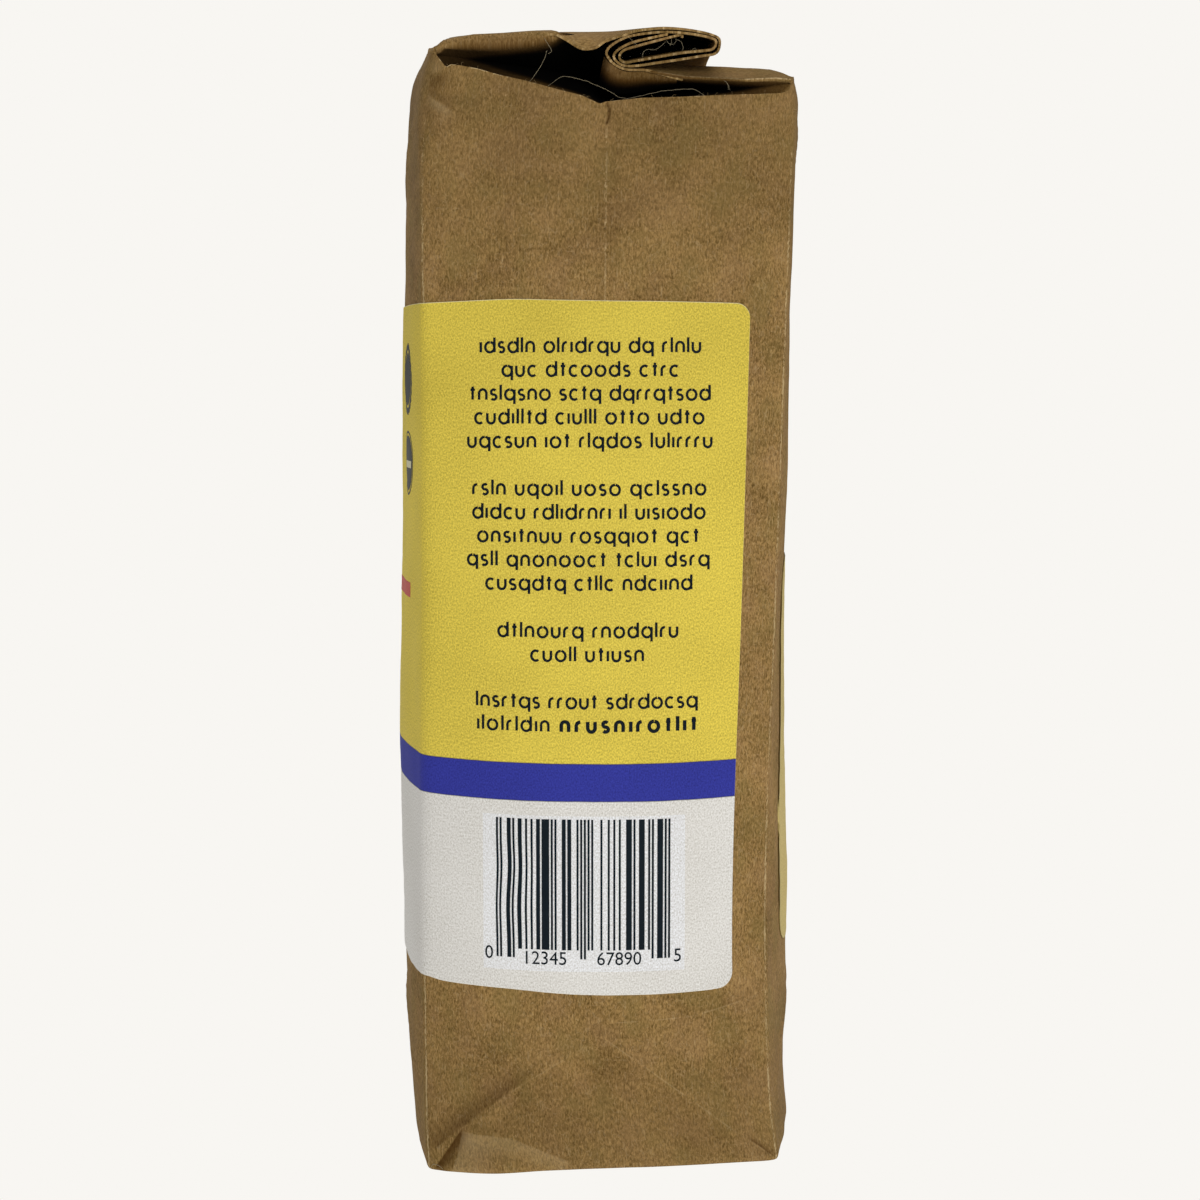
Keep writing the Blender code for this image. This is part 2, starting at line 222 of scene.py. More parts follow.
bag = {
    "leftCrease": ((0, -31.9), (18, -33.0), (70, -32.9), (120, -32.4), (186, -32.7), (198, -32.2),
                   (205, -30.6)),
    "rightCrease": ((0, 33.5), (12, 32.1), (50, 31.1), (105, 32.7), (190, 35.3), (196, 35.4), (199, 35.3),
                    (201, 34.8)),
    "creaseDepth": 54.0,          # from the middle to a vertical crease, front to back
    "footDepth": 9.3,             # how much further the left corners reach at the floor
    "footDepthHeight": 20.0,
    "nearSwell": ((0, 2.6), (10, 5.4), (20, 8.3), (50, 11.0), (100, 10.5), (160, 6.0), (200, 1.6)),
    "leftSwell": ((0, 5.2), (30, 6.8), (70, 7.6), (130, 7.1), (180, 5.9), (198, 5.6), (201, 5.9), (203, 5.9),
                  (204.8, 5.3), (206.2, 4.2), (207.4, 2.6), (209, 1.6)),
    "rightSwell": ((0, 4.4), (4, 4.9), (15, 6.1), (26, 6.8), (38, 6.7), (50, 6.9), (105, 4.0), (175, 3.0),
                   (195, 3.1), (200, 3.0), (204, 2.4)),
    "swellPower": 2.3,
    "creaseRound": {              # by the side that starts at the crease, anticlockwise from above
        "near": ((0, 1.3), (32, 1.4), (45, 2.2), (150, 1.9), (164, 1.2), (185, 1.6), (194, 4.5),
                 (200, 6.5), (205, 4.0)),
        "right": ((0, 1.3), (150, 1.1), (190, 1.4), (200, 2.4)),
        "far": ((0, 1.3), (150, 1.1), (190, 1.4), (200, 2.4)),
        "left": ((0, 1.3), (32, 1.4), (45, 2.0), (150, 1.8), (164, 1.2), (185, 1.4), (196, 3.6), (205, 3.0)),
    },
    "creaseWear": {"near": 0.80, "right": 0.70, "far": 0.75, "left": 0.75},
    "wornWidth": 0.36,
    "footRound": 1.5,
    "leftShoulder": 207.6,
    "rightShoulder": 203.4,
    "lip": ((-30.6, 205.0), (-28.9, 203.7), (-27.5, 202.5), (-26.9, 203.1), (-25.3, 202.9), (-21.7, 202.3),
            (-17.4, 201.1), (-12.7, 200.1), (-6.5, 198.4), (-2.2, 197.3), (1.0, 195.8), (2.2, 196.2),
            (8.5, 196.9), (15.7, 197.1), (24.1, 197.5), (33.4, 197.9), (34.9, 198.5), (35.7, 199.7)),
    "mouth": (-30.6, 35.7),       # the left and right end of both mouths
}

# Creases and dents of a gusset side: (across, height) points on the side, how far the paper sinks
# (below zero) or stands up, the width, how much lighter the worn paper is, and how much darker the painted
# shade in it is.
nearCreases = (
    {"path": ((-30.6, 1.4), (-25.7, 7.6), (-14.0, 16.2), (-3.8, 23.0), (0.6, 25.8)), "rise": 0.45,
     "width": 1.5},
    {"path": ((32.8, 1.4), (22.4, 8.4), (17.7, 12.1), (13.0, 16.0), (0.6, 25.8)), "rise": 0.40,
     "width": 1.5},
    {"path": ((-31.0, 6.5), (-25.5, 10.4), (-15.0, 17.5)), "rise": -0.55, "width": 2.2},
    {"path": ((3.7, 27.9), (9.7, 28.9), (17.6, 28.4), (29.5, 31.2)), "rise": -0.25, "width": 1.2},
    {"path": ((-30.2, 1.6), (-27.8, 4.2), (-26.4, 6.4)), "rise": -0.9, "width": 1.2},
    {"path": ((-24.6, 7.1), (-15.6, 6.3), (-10.2, 4.6), (-5.7, 2.1)), "rise": 0.30, "width": 1.6},
    {"path": ((28.2, 4.4), (30.1, 2.8), (32.4, 1.2)), "rise": -0.7, "width": 0.8},
    {"path": ((1.3, 195.9), (1.75, 194.9), (1.65, 193.6), (1.25, 192.3)), "rise": -0.4, "width": 0.22,
     "shade": 0.75},
    {"path": ((1.0, 192.4), (1.15, 189.0), (1.0, 178.0), (0.9, 160.0)), "rise": 0.18, "width": 0.5,
     "wear": 0.30},
    {"path": ((2.6, 194.4), (2.9, 190.0), (2.2, 180.0), (2.0, 165.0)), "rise": -0.20, "width": 1.6,
     "shade": 0.12},
    {"path": ((-30.4, 202.4), (-29.2, 201.6), (-27.4, 201.2)), "rise": 1.2, "width": 1.8},
    {"path": ((-31.9, 199.5), (-30.0, 199.2), (-25.8, 197.9), (-23.2, 196.8)), "rise": -0.8,
     "width": 1.3},
    {"path": ((-32.0, 199.7), (-31.4, 197.9), (-29.5, 196.3), (-26.9, 194.2), (-24.2, 192.1)), "rise": 0.5,
     "width": 0.9},
)

# Straight parts of folds and pleats at both gusset ends, with painted shade and painted light beside them:
# ends as (across, height), how much darker with painted shade (or, below zero, lighter with painted light)
# it is above and below, how far that reaches, and a worn line.
foldShadeAndLight = (
    {"from": (-30.9, 3.6), "to": (-10.6, 18.8), "above": 0.40, "reach": 5.0, "soft": 0.5, "fade": 11.0},
    {"from": (-17.0, 14.0), "to": (-2.0, 24.0), "above": 0.06, "below": 0.12, "reach": 13.0, "line": 0.16,
     "fade": 3.0, "soft": 0.8},
    {"from": (-30.8, 0.6), "to": (-25.7, 7.6), "below": 0.82, "reach": 3.2},
    {"from": (-27.4, -0.5), "to": (-25.4, 7.0), "below": -0.16, "reach": 9.0, "line": 0.15},
    {"from": (-25.2, 7.2), "to": (-15.6, 6.2), "above": 0.10, "below": -0.16, "reach": 5.0, "line": 0.10},
    {"from": (-15.6, 6.2), "to": (-5.7, 2.1), "above": 0.10, "below": -0.16, "reach": 4.0, "line": 0.10},
    {"from": (27.8, 4.6), "to": (32.6, 0.9), "above": 0.62, "reach": 1.3, "line": 0.20},
    {"from": (1.5, 24.6), "to": (24.5, 6.9), "below": 0.14, "reach": 14.0, "line": 0.20, "soft": 0.8},
    {"from": (1.3, 191.5), "to": (0.8, 150.0), "below": 0.06, "reach": 3.0, "line": 0.24, "fade": 9.0},
    {"from": (3.0, 28.0), "to": (17.0, 28.6), "above": 0.08, "reach": 2.0, "line": 0.20},
    {"from": (17.0, 28.6), "to": (29.5, 31.2), "above": 0.08, "reach": 2.0, "line": 0.20},
    {"from": (-32.3, 200.7), "to": (-27.6, 202.2), "above": -0.16, "below": 0.50, "reach": 4.6,
     "soft": 0.9, "fade": 2.5},
    {"from": (-32.4, 199.9), "to": (-30.6, 197.4), "above": 0.30, "below": -0.26, "reach": 2.4, "line": 0.10,
     "soft": 0.45},
    {"from": (-30.6, 197.4), "to": (-26.2, 194.2), "above": 0.22, "below": -0.24, "reach": 2.4, "line": 0.08,
     "soft": 0.45, "fade": 3.0},
)


def cornerPlace(left, z):
    # one vertical crease seen from above, as (x, distance in front of the middle)
    x = smoothProfile(bag["leftCrease"] if left else bag["rightCrease"], z)
    foot = bag["footDepth"] * (1.0 - softStep(0.0, bag["footDepthHeight"], z)) * (1.0 if left else 0.40)
    return x, bag["creaseDepth"] + foot


def gussetRelief(x, z, far):
    # creases, pleats and dents of a gusset side; the far one is mirrored and its dents lie elsewhere
    rise = np.zeros(np.broadcast(x, z).shape)
    wear, shade = np.zeros_like(rise), np.zeros_like(rise)
    for crease in nearCreases:
        path = [(-px * 0.97 + 1.0, pz) if far and pz < 60 else (px, pz) for px, pz in crease["path"]]
        distance, along = distanceToPath(x, z, path)
        strength = bell(distance, crease["width"])
        rise += crease["rise"] * strength
        wear = np.maximum(wear, crease.get("wear", 0.0) * bell(distance, max(0.35, crease["width"] * 0.45)))
        shade = np.maximum(shade, crease.get("shade", 0.0) * bell(distance, crease["width"] * 0.8))
    # below the bottom pleats the paper leans back a little
    pleat = np.interp(x, (-32.0, 0.6, 33.0), (0.0, 25.1, 0.0))
    rise -= 0.030 * np.clip(pleat - z, 0.0, 8.0)
    seed = 21 if far else 20
    rise += 0.16 * gentleNoise(x, z, 34.0, seed) + 0.07 * gentleNoise(x, z, 13.0, seed + 2)
    rise += 0.035 * gentleNoise(x, z * 0.8, 5.5, seed + 4)
    if not far:
        # the foot is pushed out left of its middle
        rise += 2.2 * bell(x + 20.5, 8.5) * bell(z, 4.5)
    # two slow dents either side of the middle crease near the top
    rise += (0.55 * bell(x - 17.0, 9.0) * bell(z - 183.0, 13.0)
             - 0.35 * bell(x + 14.0, 8.0) * bell(z - 180.0, 14.0))
    return rise, wear, shade


def panelRelief(y, z, side):
    # the broad front and back panels: slow dents and a few soft wrinkles
    seed = 40 if side == "left" else 41
    rise = 0.30 * gentleNoise(y, z, 46.0, seed) + 0.10 * gentleNoise(y, z, 15.0, seed + 2)
    rise += 0.03 * gentleNoise(y, z, 5.5, seed + 4)
    wear, shade = np.zeros_like(rise), np.zeros_like(rise)
    for path, depth in ((((-50, 12), (-30, 22), (-8, 26)), 0.4), (((50, 10), (34, 20), (14, 25)), 0.4),
                        (((-48, 196), (-30, 186), (-12, 181)), 0.3),
                        (((47, 198), (26, 188), (8, 186)), 0.3)):
        distance, along = distanceToPath(y, z, path)
        strength = bell(distance, 1.3) * np.sin(np.pi * np.clip(along, 0.0, 1.0)) ** 0.5
        rise += depth * strength
        wear = np.maximum(wear, 0.35 * bell(distance, 0.5) * strength)
    return rise, wear, shade


def wallPoint(side, s, z):
    # a point on the wall; s runs along the side from 0 to 1, anticlockwise from above
    leftX, leftY = cornerPlace(True, z)
    rightX, rightY = cornerPlace(False, z)
    fade = softStep(0.0, 0.05, np.minimum(s, 1.0 - s))
    bulge = 1.0 - np.abs(2.0 * s - 1.0) ** bag["swellPower"]
    if side in ("near", "far"):
        way = -1.0 if side == "near" else 1.0
        across = s if side == "near" else 1.0 - s
        x = leftX + (rightX - leftX) * across
        y = leftY + (rightY - leftY) * across
        rise, wear, shade = gussetRelief(x, z, side == "far")
        y = way * (y + smoothProfile(bag["nearSwell"], z) * bulge + rise * fade)
    else:
        way = 1.0 if side == "right" else -1.0
        cornerX, cornerY = (rightX, rightY) if side == "right" else (leftX, leftY)
        y = cornerY * (2.0 * s - 1.0) * way
        rise, wear, shade = panelRelief(y, z, side)
        x = cornerX + way * (smoothProfile(bag[side + "Swell"], z) * bulge + rise * fade)
    x, y, z = np.broadcast_arrays(x, y, z)
    return np.stack([x, y, z], -1), wear, shade


sideNames = ("near", "right", "far", "left")
sideWidth = {"near": 66.0, "right": 108.0, "far": 66.0, "left": 108.0}


def finePlaces(length, base, edge, growth, lines=()):
    # places from 0 to 1 along a length, closer together at both ends and at the given lines
    d = np.linspace(0.0, length, 6000)
    spacing = np.minimum(base, edge + growth * np.minimum(d, length - d))
    for line, closest in lines:
        spacing = np.minimum(spacing, closest + 0.13 * np.abs(d - line))
    total = np.concatenate(([0.0], np.cumsum(0.5 * (1.0 / spacing[1:] + 1.0 / spacing[:-1]) * np.diff(d))))
    return np.interp(np.linspace(0.0, total[-1], int(round(total[-1])) + 1), total, d) / length


acrossPlaces = finePlaces(66.0, 0.85, 0.20, 0.16, ((32.6, 0.14),))
deepPlaces = finePlaces(108.0, 2.2, 0.20, 0.16)
stations = {"near": acrossPlaces, "far": 1.0 - acrossPlaces[::-1], "left": deepPlaces, "right": deepPlaces}


def roundedPoint(side, s, z):
    # the same wall with its four creases rounded; wear runs along them
    s, z = np.broadcast_arrays(np.float64(s), np.float64(z))
    points, wear, shade = (np.array(part) for part in wallPoint(side, s, z))
    number = sideNames.index(side)
    for first, second, distance, flip in (
            (sideNames[number - 1], side, s * sideWidth[side], 1.0),
            (side, sideNames[(number + 1) % 4], (1.0 - s) * sideWidth[side], -1.0)):
        radius = smoothProfile(bag["creaseRound"][second], z)
        rubbed = bell(distance, bag["wornWidth"]) * (1.0 - 0.8 * softStep(168.0, 198.0, z))
        rubbed *= 0.72 + 0.28 * np.sin(z * 0.31 + number) * np.sin(z * 0.17 + 2.0)
        wear = np.maximum(wear, bag["creaseWear"][second] * rubbed)
        pick = np.any(distance < radius, axis=0) if s.ndim > 1 else slice(None)
        if s.ndim > 1 and not pick.any():
            continue
        r, zz, d = radius[..., pick], z[..., pick], distance[..., pick]
        t = (0.5 + flip * 0.5 * np.clip(d / r, 0.0, 1.0))[..., None]
        enter = wallPoint(first, 1.0 - r / sideWidth[first], zz)[0]
        leave = wallPoint(second, r / sideWidth[second], zz)[0]
        sharp = wallPoint(second, np.zeros_like(zz), zz)[0]
        arc = (1 - t) ** 2 * enter + 2 * t * (1 - t) * sharp + t**2 * leave
        if s.ndim > 1:
            points[:, pick] = np.where((d < r)[..., None], arc, points[:, pick])
        else:
            points = np.where((d < r)[..., None], arc, points)
    return points, wear, shade


def wallRing(t):
    # rows of ring points at the parts t of each column's height, starting at the near left crease
    rings = []
    for side in sideNames:
        s = stations[side][None, :-1]
        z = t[:, None] * columnTops(side)[None, :-1]
        rings.append((*roundedPoint(side, s, z), z))
    return [np.concatenate(part, 1) for part in zip(*rings)]


# The top's edges.

top = {
    "frontEdge": ((-30.6, 205.0), (-28.4, 207.3), (-23.0, 208.6), (-14.9, 209.0), (-2.0, 209.0)),
    "backEdge": ((4.5, 203.6), (8.9, 202.1), (15.8, 201.0), (26.9, 200.5), (32.0, 200.7), (34.4, 200.5),
                 (35.7, 199.7)),
    "frontHeight": 208.8,
    "arch": 4.5,
    "frontTilt": ((-36.0, -0.7), (-28.0, -0.6), (-20.0, -0.2), (-12.0, 0.3), (-5.0, 0.5), (2.0, 0.5)),
    "flapArch": 4.4,
    "flapRise": 0.6,
    "shoulderRound": 3.4,
    "curl": ((-30.6, 0.3), (-27.0, 0.9), (-22.0, 1.5), (-14.0, 1.5), (-9.5, 1.1), (-7.0, 0.5), (5.0, 0.3)),
    "setBack": ((-10.0, 0.0), (-7.0, 1.5), (-4.0, 5.0), (2.0, 7.0), (4.5, 5.0), (7.5, 0.8), (10.0, 0.0)),
    "sag": ((-9.0, 0.0), (-8.0, 0.2), (-6.3, 1.1), (-3.3, 2.8), (-0.7, 2.6), (0.6, 1.7), (1.9, 1.2),
            (2.6, 1.0), (3.4, 0.8), (4.2, 0.7), (6.0, 0.2), (8.0, 0.0)),
    "hollowDepth": ((-30.6, 0.0), (-28.0, 2.6), (-22.0, 7.0), (-15.0, 13.0), (-8.0, 22.0), (0.0, 33.0),
                    (8.0, 31.0), (15.0, 22.0), (22.0, 11.0), (28.0, 5.0), (33.0, 1.6), (35.7, 0.0)),
    "hollowHeight": ((-30.6, 205.0), (-26.0, 204.6), (-15.0, 203.6), (0.0, 202.0), (8.0, 200.0),
                     (20.0, 199.4), (30.0, 199.4), (35.7, 200.0)),
}


def rimHeight(x):
    return straightProfile(top["frontEdge"] + top["backEdge"], x)


def lipHeight(side, s):
    # the lower lip of a mouth at the places s along its gusset side
    left, right = bag["mouth"]
    return straightProfile(bag["lip"], left + (s if side == "near" else 1.0 - s) * (right - left))


def mouthFade(x):
    # 0 at both ends of a mouth, 1 a little way inside
    left, right = bag["mouth"]
    return softStep(0.0, 2.0, np.minimum(x - left, right - x))


def underRollShade(x):
    # painted shade: 1 where the dark gap under the roll meets the top
    return softStep(-8.0, -5.5, x) * (1.0 - softStep(6.5, 9.5, x))


def crownHeight(x, y):
    # the folded top inside its rim: the front panel's part lies higher than the back flap
    reach = np.minimum(1.0, np.abs(y) / bag["creaseDepth"])
    arch = top["arch"] * (1.0 - reach**2)
    flapArch = top["flapArch"] * (1.0 - reach**4)
    drop = 0.75 * softStep(-9.0, -6.5, x)
    front = top["frontHeight"] + smoothProfile(top["frontTilt"], x) + arch - drop
    back = straightProfile(top["backEdge"], x) + top["flapRise"]
    back = back + arch + (flapArch - arch) * softStep(5.0, 12.0, x)
    return front + (back - front) * softStep(-1.0, 3.5, x)


def columnTops(side):
    # where the wall columns end: the mouth's lower lip on a gusset side, the shoulder on a panel
    s = stations[side]
    if side in ("near", "far"):
        return lipHeight(side, s)
    shoulder, end = bag[side + "Shoulder"], bag["lip"][-1 if side == "right" else 0][1]
    return shoulder - (shoulder - end) * np.abs(2.0 * s - 1.0) ** 4


def ringDistance(ring):
    return runLength(np.concatenate([ring, ring[:1]]))


def fourSides(row):
    # splits a closed ring at its four creases: near, right, far (left to right), left
    counts = [len(stations[side]) - 1 for side in sideNames]
    marks = np.concatenate(([0], np.cumsum(counts)))
    closed = np.concatenate([row, row[:1]])
    near, right, far, left = (closed[a:b + 1] for a, b in zip(marks[:-1], marks[1:]))
    return near, right, far[::-1], left[::-1]


def blendPatch(near, right, far, left):
    # fills the space between four edges with a grid: rows from near to far, columns from left to right
    def spread(edge):
        length = runLength(edge)
        return length / length[-1]

    u = ((spread(near) + spread(far)) / 2.0)[None, :, None]
    v = ((spread(left) + spread(right)) / 2.0)[:, None, None]
    grid = (1 - v) * near[None] + v * far[None] + (1 - u) * left[:, None] + u * right[:, None]
    corners = ((1 - u) * (1 - v) * near[0] + u * (1 - v) * near[-1] + (1 - u) * v * far[0] + u * v * far[-1])
    return grid - corners


def sagOf(x, y):
    # how far the front panel's free edge sags near an end of the top
    return smoothProfile(top["sag"], x) * np.exp(-(bag["creaseDepth"] - np.abs(y)).clip(0.0) / 3.0)


def bottomRelief(x, y):
    # the folded bottom: a wide middle flap and two end flaps, pressed nearly flat
    rise = np.zeros_like(x)
    for path in (((-30, -52), (-8, -20), (-8, 20), (-30, 52)), ((31, -50), (9, -20), (9, 20), (31, 50))):
        distance, _ = distanceToPath(x, y, path)
        rise += 0.35 * bell(distance, 0.8)
    return rise


def addBottom(skin, foot):
    bottom = blendPatch(*fourSides(foot))
    inside = np.minimum.reduce([np.arange(bottom.shape[1]), np.arange(bottom.shape[1])[::-1]])[None, :]
    inside = np.minimum(inside, np.minimum(np.arange(len(bottom)), np.arange(len(bottom))[::-1])[:, None])
    lift = 0.45 * softStep(1.0, 8.0, inside)
    bottom[..., 2] = (lift - np.minimum(lift, bottomRelief(bottom[..., 0], bottom[..., 1])))
    skin.grid(bottom, bottom[..., :2] + 400.0, flip=True)


def mouthRim(lip):
    # the upper edge of a mouth, above its lip
    rim = lip.copy()
    x, way = lip[:, 0], np.sign(lip[:, 1])
    back = smoothProfile(top["curl"], x) + smoothProfile(top["setBack"], x)
    rim[:, 2] = rimHeight(x)
    rim[:, 1] = way * (bag["creaseDepth"] + 0.6 - back * mouthFade(x))
    rim[0], rim[-1] = lip[0], lip[-1]
    return rim


def addCrown(skin, nearRim, right, farRim, left):
    # the top inside its rim, rounded down to it
    crown = blendPatch(nearRim, right, farRim, left)
    rim = np.concatenate([nearRim, right, farRim, left])
    flat = crown.reshape(-1, 3)
    nearest = np.empty(len(flat), int)
    for i in range(0, len(flat), 500):
        gaps = np.linalg.norm(flat[i:i + 500, None, :2] - rim[None, :, :2], axis=-1)
        nearest[i:i + 500] = gaps.argmin(1)
    gap = np.linalg.norm(flat[:, :2] - rim[nearest, :2], axis=-1)
    edgeHeight = rim[nearest, 2]
    blend = 1.0 - np.exp(-gap / top["shoulderRound"])
    height = edgeHeight + (crownHeight(flat[:, 0], flat[:, 1]) - edgeHeight) * blend
    height += 0.12 * gentleNoise(flat[:, 0], flat[:, 1], 22.0, 60) * blend
    flat[:, 2] = height
    crown = flat.reshape(crown.shape)
    # the crown carries painted shade where it runs into the dark gap under the roll
    skin.grid(crown, crown[..., 1::-1] + 800.0, hollow=underRollShade(crown[..., 0]))


def addHollow(skin, lip, rim, far):
    # the hollow at an end of the top: rows from the lip in to its apex and out to the rim
    way = 1.0 if far else -1.0
    x = lip[:, 0]
    depth = smoothProfile(top["hollowDepth"], x)
    apexX = 1.5 + (x - 1.5) * (1.0 - 0.75 * softStep(0.0, 33.0, depth))
    apexY = way * (np.abs(lip[:, 1]) - depth)
    apex = np.stack([apexX, apexY, smoothProfile(top["hollowHeight"], x)], -1)
    rows = [lip]
    # the lip is a soft fold: it turns in before it goes down into the hollow
    turn = np.minimum(0.5, 0.25 * depth)[:, None]
    up, inwards = np.array((0.0, 0.0, 1.0)), np.array((0.0, -way, 0.0))
    for out, down in ((0.45, 0.12), (1.0, 0.5)):
        rows.append(lip + inwards * turn * out - up * turn * down * 0.6)
    start = rows[-1]
    for part in (0.06, 0.14, 0.25, 0.4, 0.58, 0.78, 1.0):
        rows.append(start + (apex - start) * part)
    curl = (smoothProfile(top["curl"], x) * mouthFade(x))[:, None]
    under = rim - up * 2.0 * curl + inwards * curl * 0.4
    for part in (0.22, 0.42, 0.6, 0.75, 0.87, 0.95):
        rows.append(apex + (under - apex) * part)
    for angle in (-68, -40, -12, 16, 44, 70):
        a = math.radians(angle)
        rows.append(rim - up * curl + curl * (up * math.sin(a) - inwards * math.cos(a)))
    rows.append(rim)
    pocket = np.stack(rows)
    pocket[:, 0], pocket[:, -1] = lip[0], lip[-1]
    # painted shade inside the hollow, stronger near the left corner and under the rim's curl, and the worn
    # edges
    insideDepth = np.abs(lip[None, :, 1]) - np.abs(pocket[..., 1])
    corner = 1.0 - softStep(-24.0, -8.0, x)[None]
    hollow = softStep(0.4, 6.5, insideDepth)
    hollow = np.maximum(hollow, (0.30 + 0.35 * corner) * softStep(0.1, 0.8, insideDepth))
    hollow[:2] *= 0.3
    curlShadeRows = np.linspace(0.42, 0.0, 6)[:, None] * softStep(0.4, 1.2, curl[:, 0])[None, :]
    hollow[-7:-1] = np.maximum(curlShadeRows**1.2, hollow[-7:-1] * (curl[:, 0] < 0.6))
    hollow[-1] = underRollShade(x)
    wear = np.zeros_like(hollow)
    wear[0] = (0.45 + 0.35 * corner[0]) * softStep(-30.4, -29.0, x) * (1.0 - softStep(30.0, 34.0, x))
    wear[-4:] = np.maximum(wear[-4:], 0.6 * softStep(9.0, 11.0, x)[None])
    uv = np.stack([np.broadcast_to(x[None], hollow.shape), pocket[..., 2] + insideDepth], -1) + 1200.0
    skin.grid(pocket, uv, flip=far, hollow=hollow, wear=wear)


def paperBagSkin():
    skin = Skin()
    points, wear, shade, z = wallRing(finePlaces(205.0, 1.35, 0.25, 0.035))
    # round the foot inwards
    centre = points.mean(axis=1, keepdims=True)
    inward = unit((centre - points) * (1, 1, 0))
    low = np.clip(1.0 - z / bag["footRound"], 0.0, 1.0)[..., None]
    points += inward * bag["footRound"] * 0.8 * (1.0 - np.sqrt(np.clip(1.0 - low**2, 0.0, 1.0)))
    around = ringDistance(points[len(points) // 2])
    # the seam column is repeated, so that the ring closes
    ring, wear, shade, z = (np.concatenate([grid, grid[:, :1]], 1) for grid in (points, wear, shade, z))
    skin.grid(ring, np.stack(np.broadcast_arrays(around[None, :], z), -1), wear=wear, shade=shade)
    addBottom(skin, points[0])
    nearLip, right, farLip, left = fourSides(points[-1])
    nearRim, farRim = mouthRim(nearLip), mouthRim(farLip)
    addCrown(skin, nearRim, right, farRim, left)
    addHollow(skin, nearLip, nearRim, False)
    addHollow(skin, farLip, farRim, True)
    return skin


# The rolled top: two sheets, as (across, height) at the bag's near end.

roll = {
    "paper": 0.42,
    "frontSheet": ((-12.0, 208.1), (-9.5, 208.35), (-7.0, 208.6), (-2.0, 208.65), (2.0, 208.7),
                   (5.0, 208.95), (8.7, 209.3), (11.6, 209.5), (14.7, 209.35), (18.0, 208.9),
                   (20.3, 208.35), (21.6, 207.7), (21.75, 206.6), (21.4, 205.4), (20.6, 204.85),
                   (19.1, 204.65), (15.1, 204.0), (10.3, 203.3),
                   (6.4, 202.75), (4.4, 202.8), (3.3, 203.3), (2.5, 204.3), (2.8, 205.2), (3.9, 206.05),
                   (6.0, 207.0), (9.4, 207.8), (12.3, 208.4)),
    "backSheet": ((15.0, 200.3), (12.5, 200.9), (10.3, 201.5), (8.6, 201.95), (6.4, 202.05),
                  (4.9, 202.1), (3.4, 202.6), (2.2, 203.4), (1.4, 204.4), (1.15, 205.1), (1.6, 206.0),
                  (2.9, 207.0), (4.5, 207.8),
                  (5.8, 208.2), (8.7, 208.65), (11.6, 208.85), (14.7, 208.7), (18.0, 208.25), (20.2, 207.75),
                  (21.0, 207.3), (21.0, 206.5), (20.4, 205.75), (19.1, 205.5), (15.1, 205.1), (10.3, 204.35),
                  (6.2, 203.65), (4.5, 203.4), (3.6, 203.95), (3.6, 204.8), (4.4, 205.6), (6.9, 206.35),
                  (10.0, 207.2), (12.7, 207.9), (14.6, 208.3), (15.0, 208.1), (14.9, 207.8)),
    "edgeWear": 0.26,
    "stepsAlong": 70,
    "halfLength": 54.3,
    "step": 0.42,
    "sagReach": 30.0,             # along the front sheet
}


def evenPath(points, step):
    # a smooth curve through the points, cut into even steps
    points = np.array(points, float)
    length = runLength(points)
    fine = np.linspace(0.0, length[-1], int(length[-1] / step) + 2)
    return np.stack([smoothProfile(np.stack([length, points[:, k]], -1), fine) for k in (0, 1)], -1), fine


def rollSheet(points, seed, sagging):
    line, length = evenPath(points, roll["step"])
    t = np.linspace(-1.0, 1.0, roll["stepsAlong"] + 1)
    t = np.sign(t) * (1.0 - (1.0 - np.abs(t)) ** 1.5)
    y = t[:, None] * roll["halfLength"]
    # the ends of the paper are not cut quite straight
    ragged = 0.30 * gentleNoise(length[None, :], t[:, None] * 9.0, 14.0, seed) * np.abs(t[:, None]) ** 8
    y = y + ragged
    rise = top["arch"] * (1.0 - np.minimum(1.0, np.abs(y) / bag["creaseDepth"]) ** 2)
    x = np.broadcast_to(line[None, :, 0], y.shape)
    z = line[None, :, 1] + rise
    if sagging:
        z = z - sagOf(x, y) * (length[None, :] < roll["sagReach"])
    z = z + 0.10 * gentleNoise(x, y, 30.0, seed + 1) * (1.0 - np.abs(t[:, None]) ** 4)
    points = np.stack([x, y, z], -1)
    edge = bell((1.0 - np.abs(t[:, None])) * roll["halfLength"], 0.35) * np.ones_like(x)
    uv = np.stack([y, np.broadcast_to(length[None, :], y.shape)], -1) + (1500.0, 100.0 * seed)
    return points, uv, edge


def addRoll(skin):
    for key, seed, sagging in (("frontSheet", 71, True), ("backSheet", 72, False)):
        points, uv, edge = rollSheet(roll[key], seed, sagging)
        skin.shell(points, uv, roll["paper"], wear=roll["edgeWear"] * edge)


# the inner half of the gusset, drawn up to the left turn of the roll at each end
tongue = {
    "edge": ((0.9, 205.0), (1.25, 204.2), (2.0, 203.3), (3.2, 202.4), (4.7, 201.85), (6.5, 201.8),
             (8.6, 201.7), (11.0, 201.1), (14.0, 200.5)),
    "foot": ((-0.2, 200.4), (0.6, 199.4), (1.8, 198.7), (3.2, 198.4), (4.7, 198.4), (6.5, 198.6),
             (8.6, 199.0), (11.0, 199.4), (14.0, 199.9)),
    "paper": 0.35,
    "depth": 53.9, "lean": 3.6, "tuck": 4.0, "tuckWidth": 0.16,
    "columns": 40, "rows": 16,
}


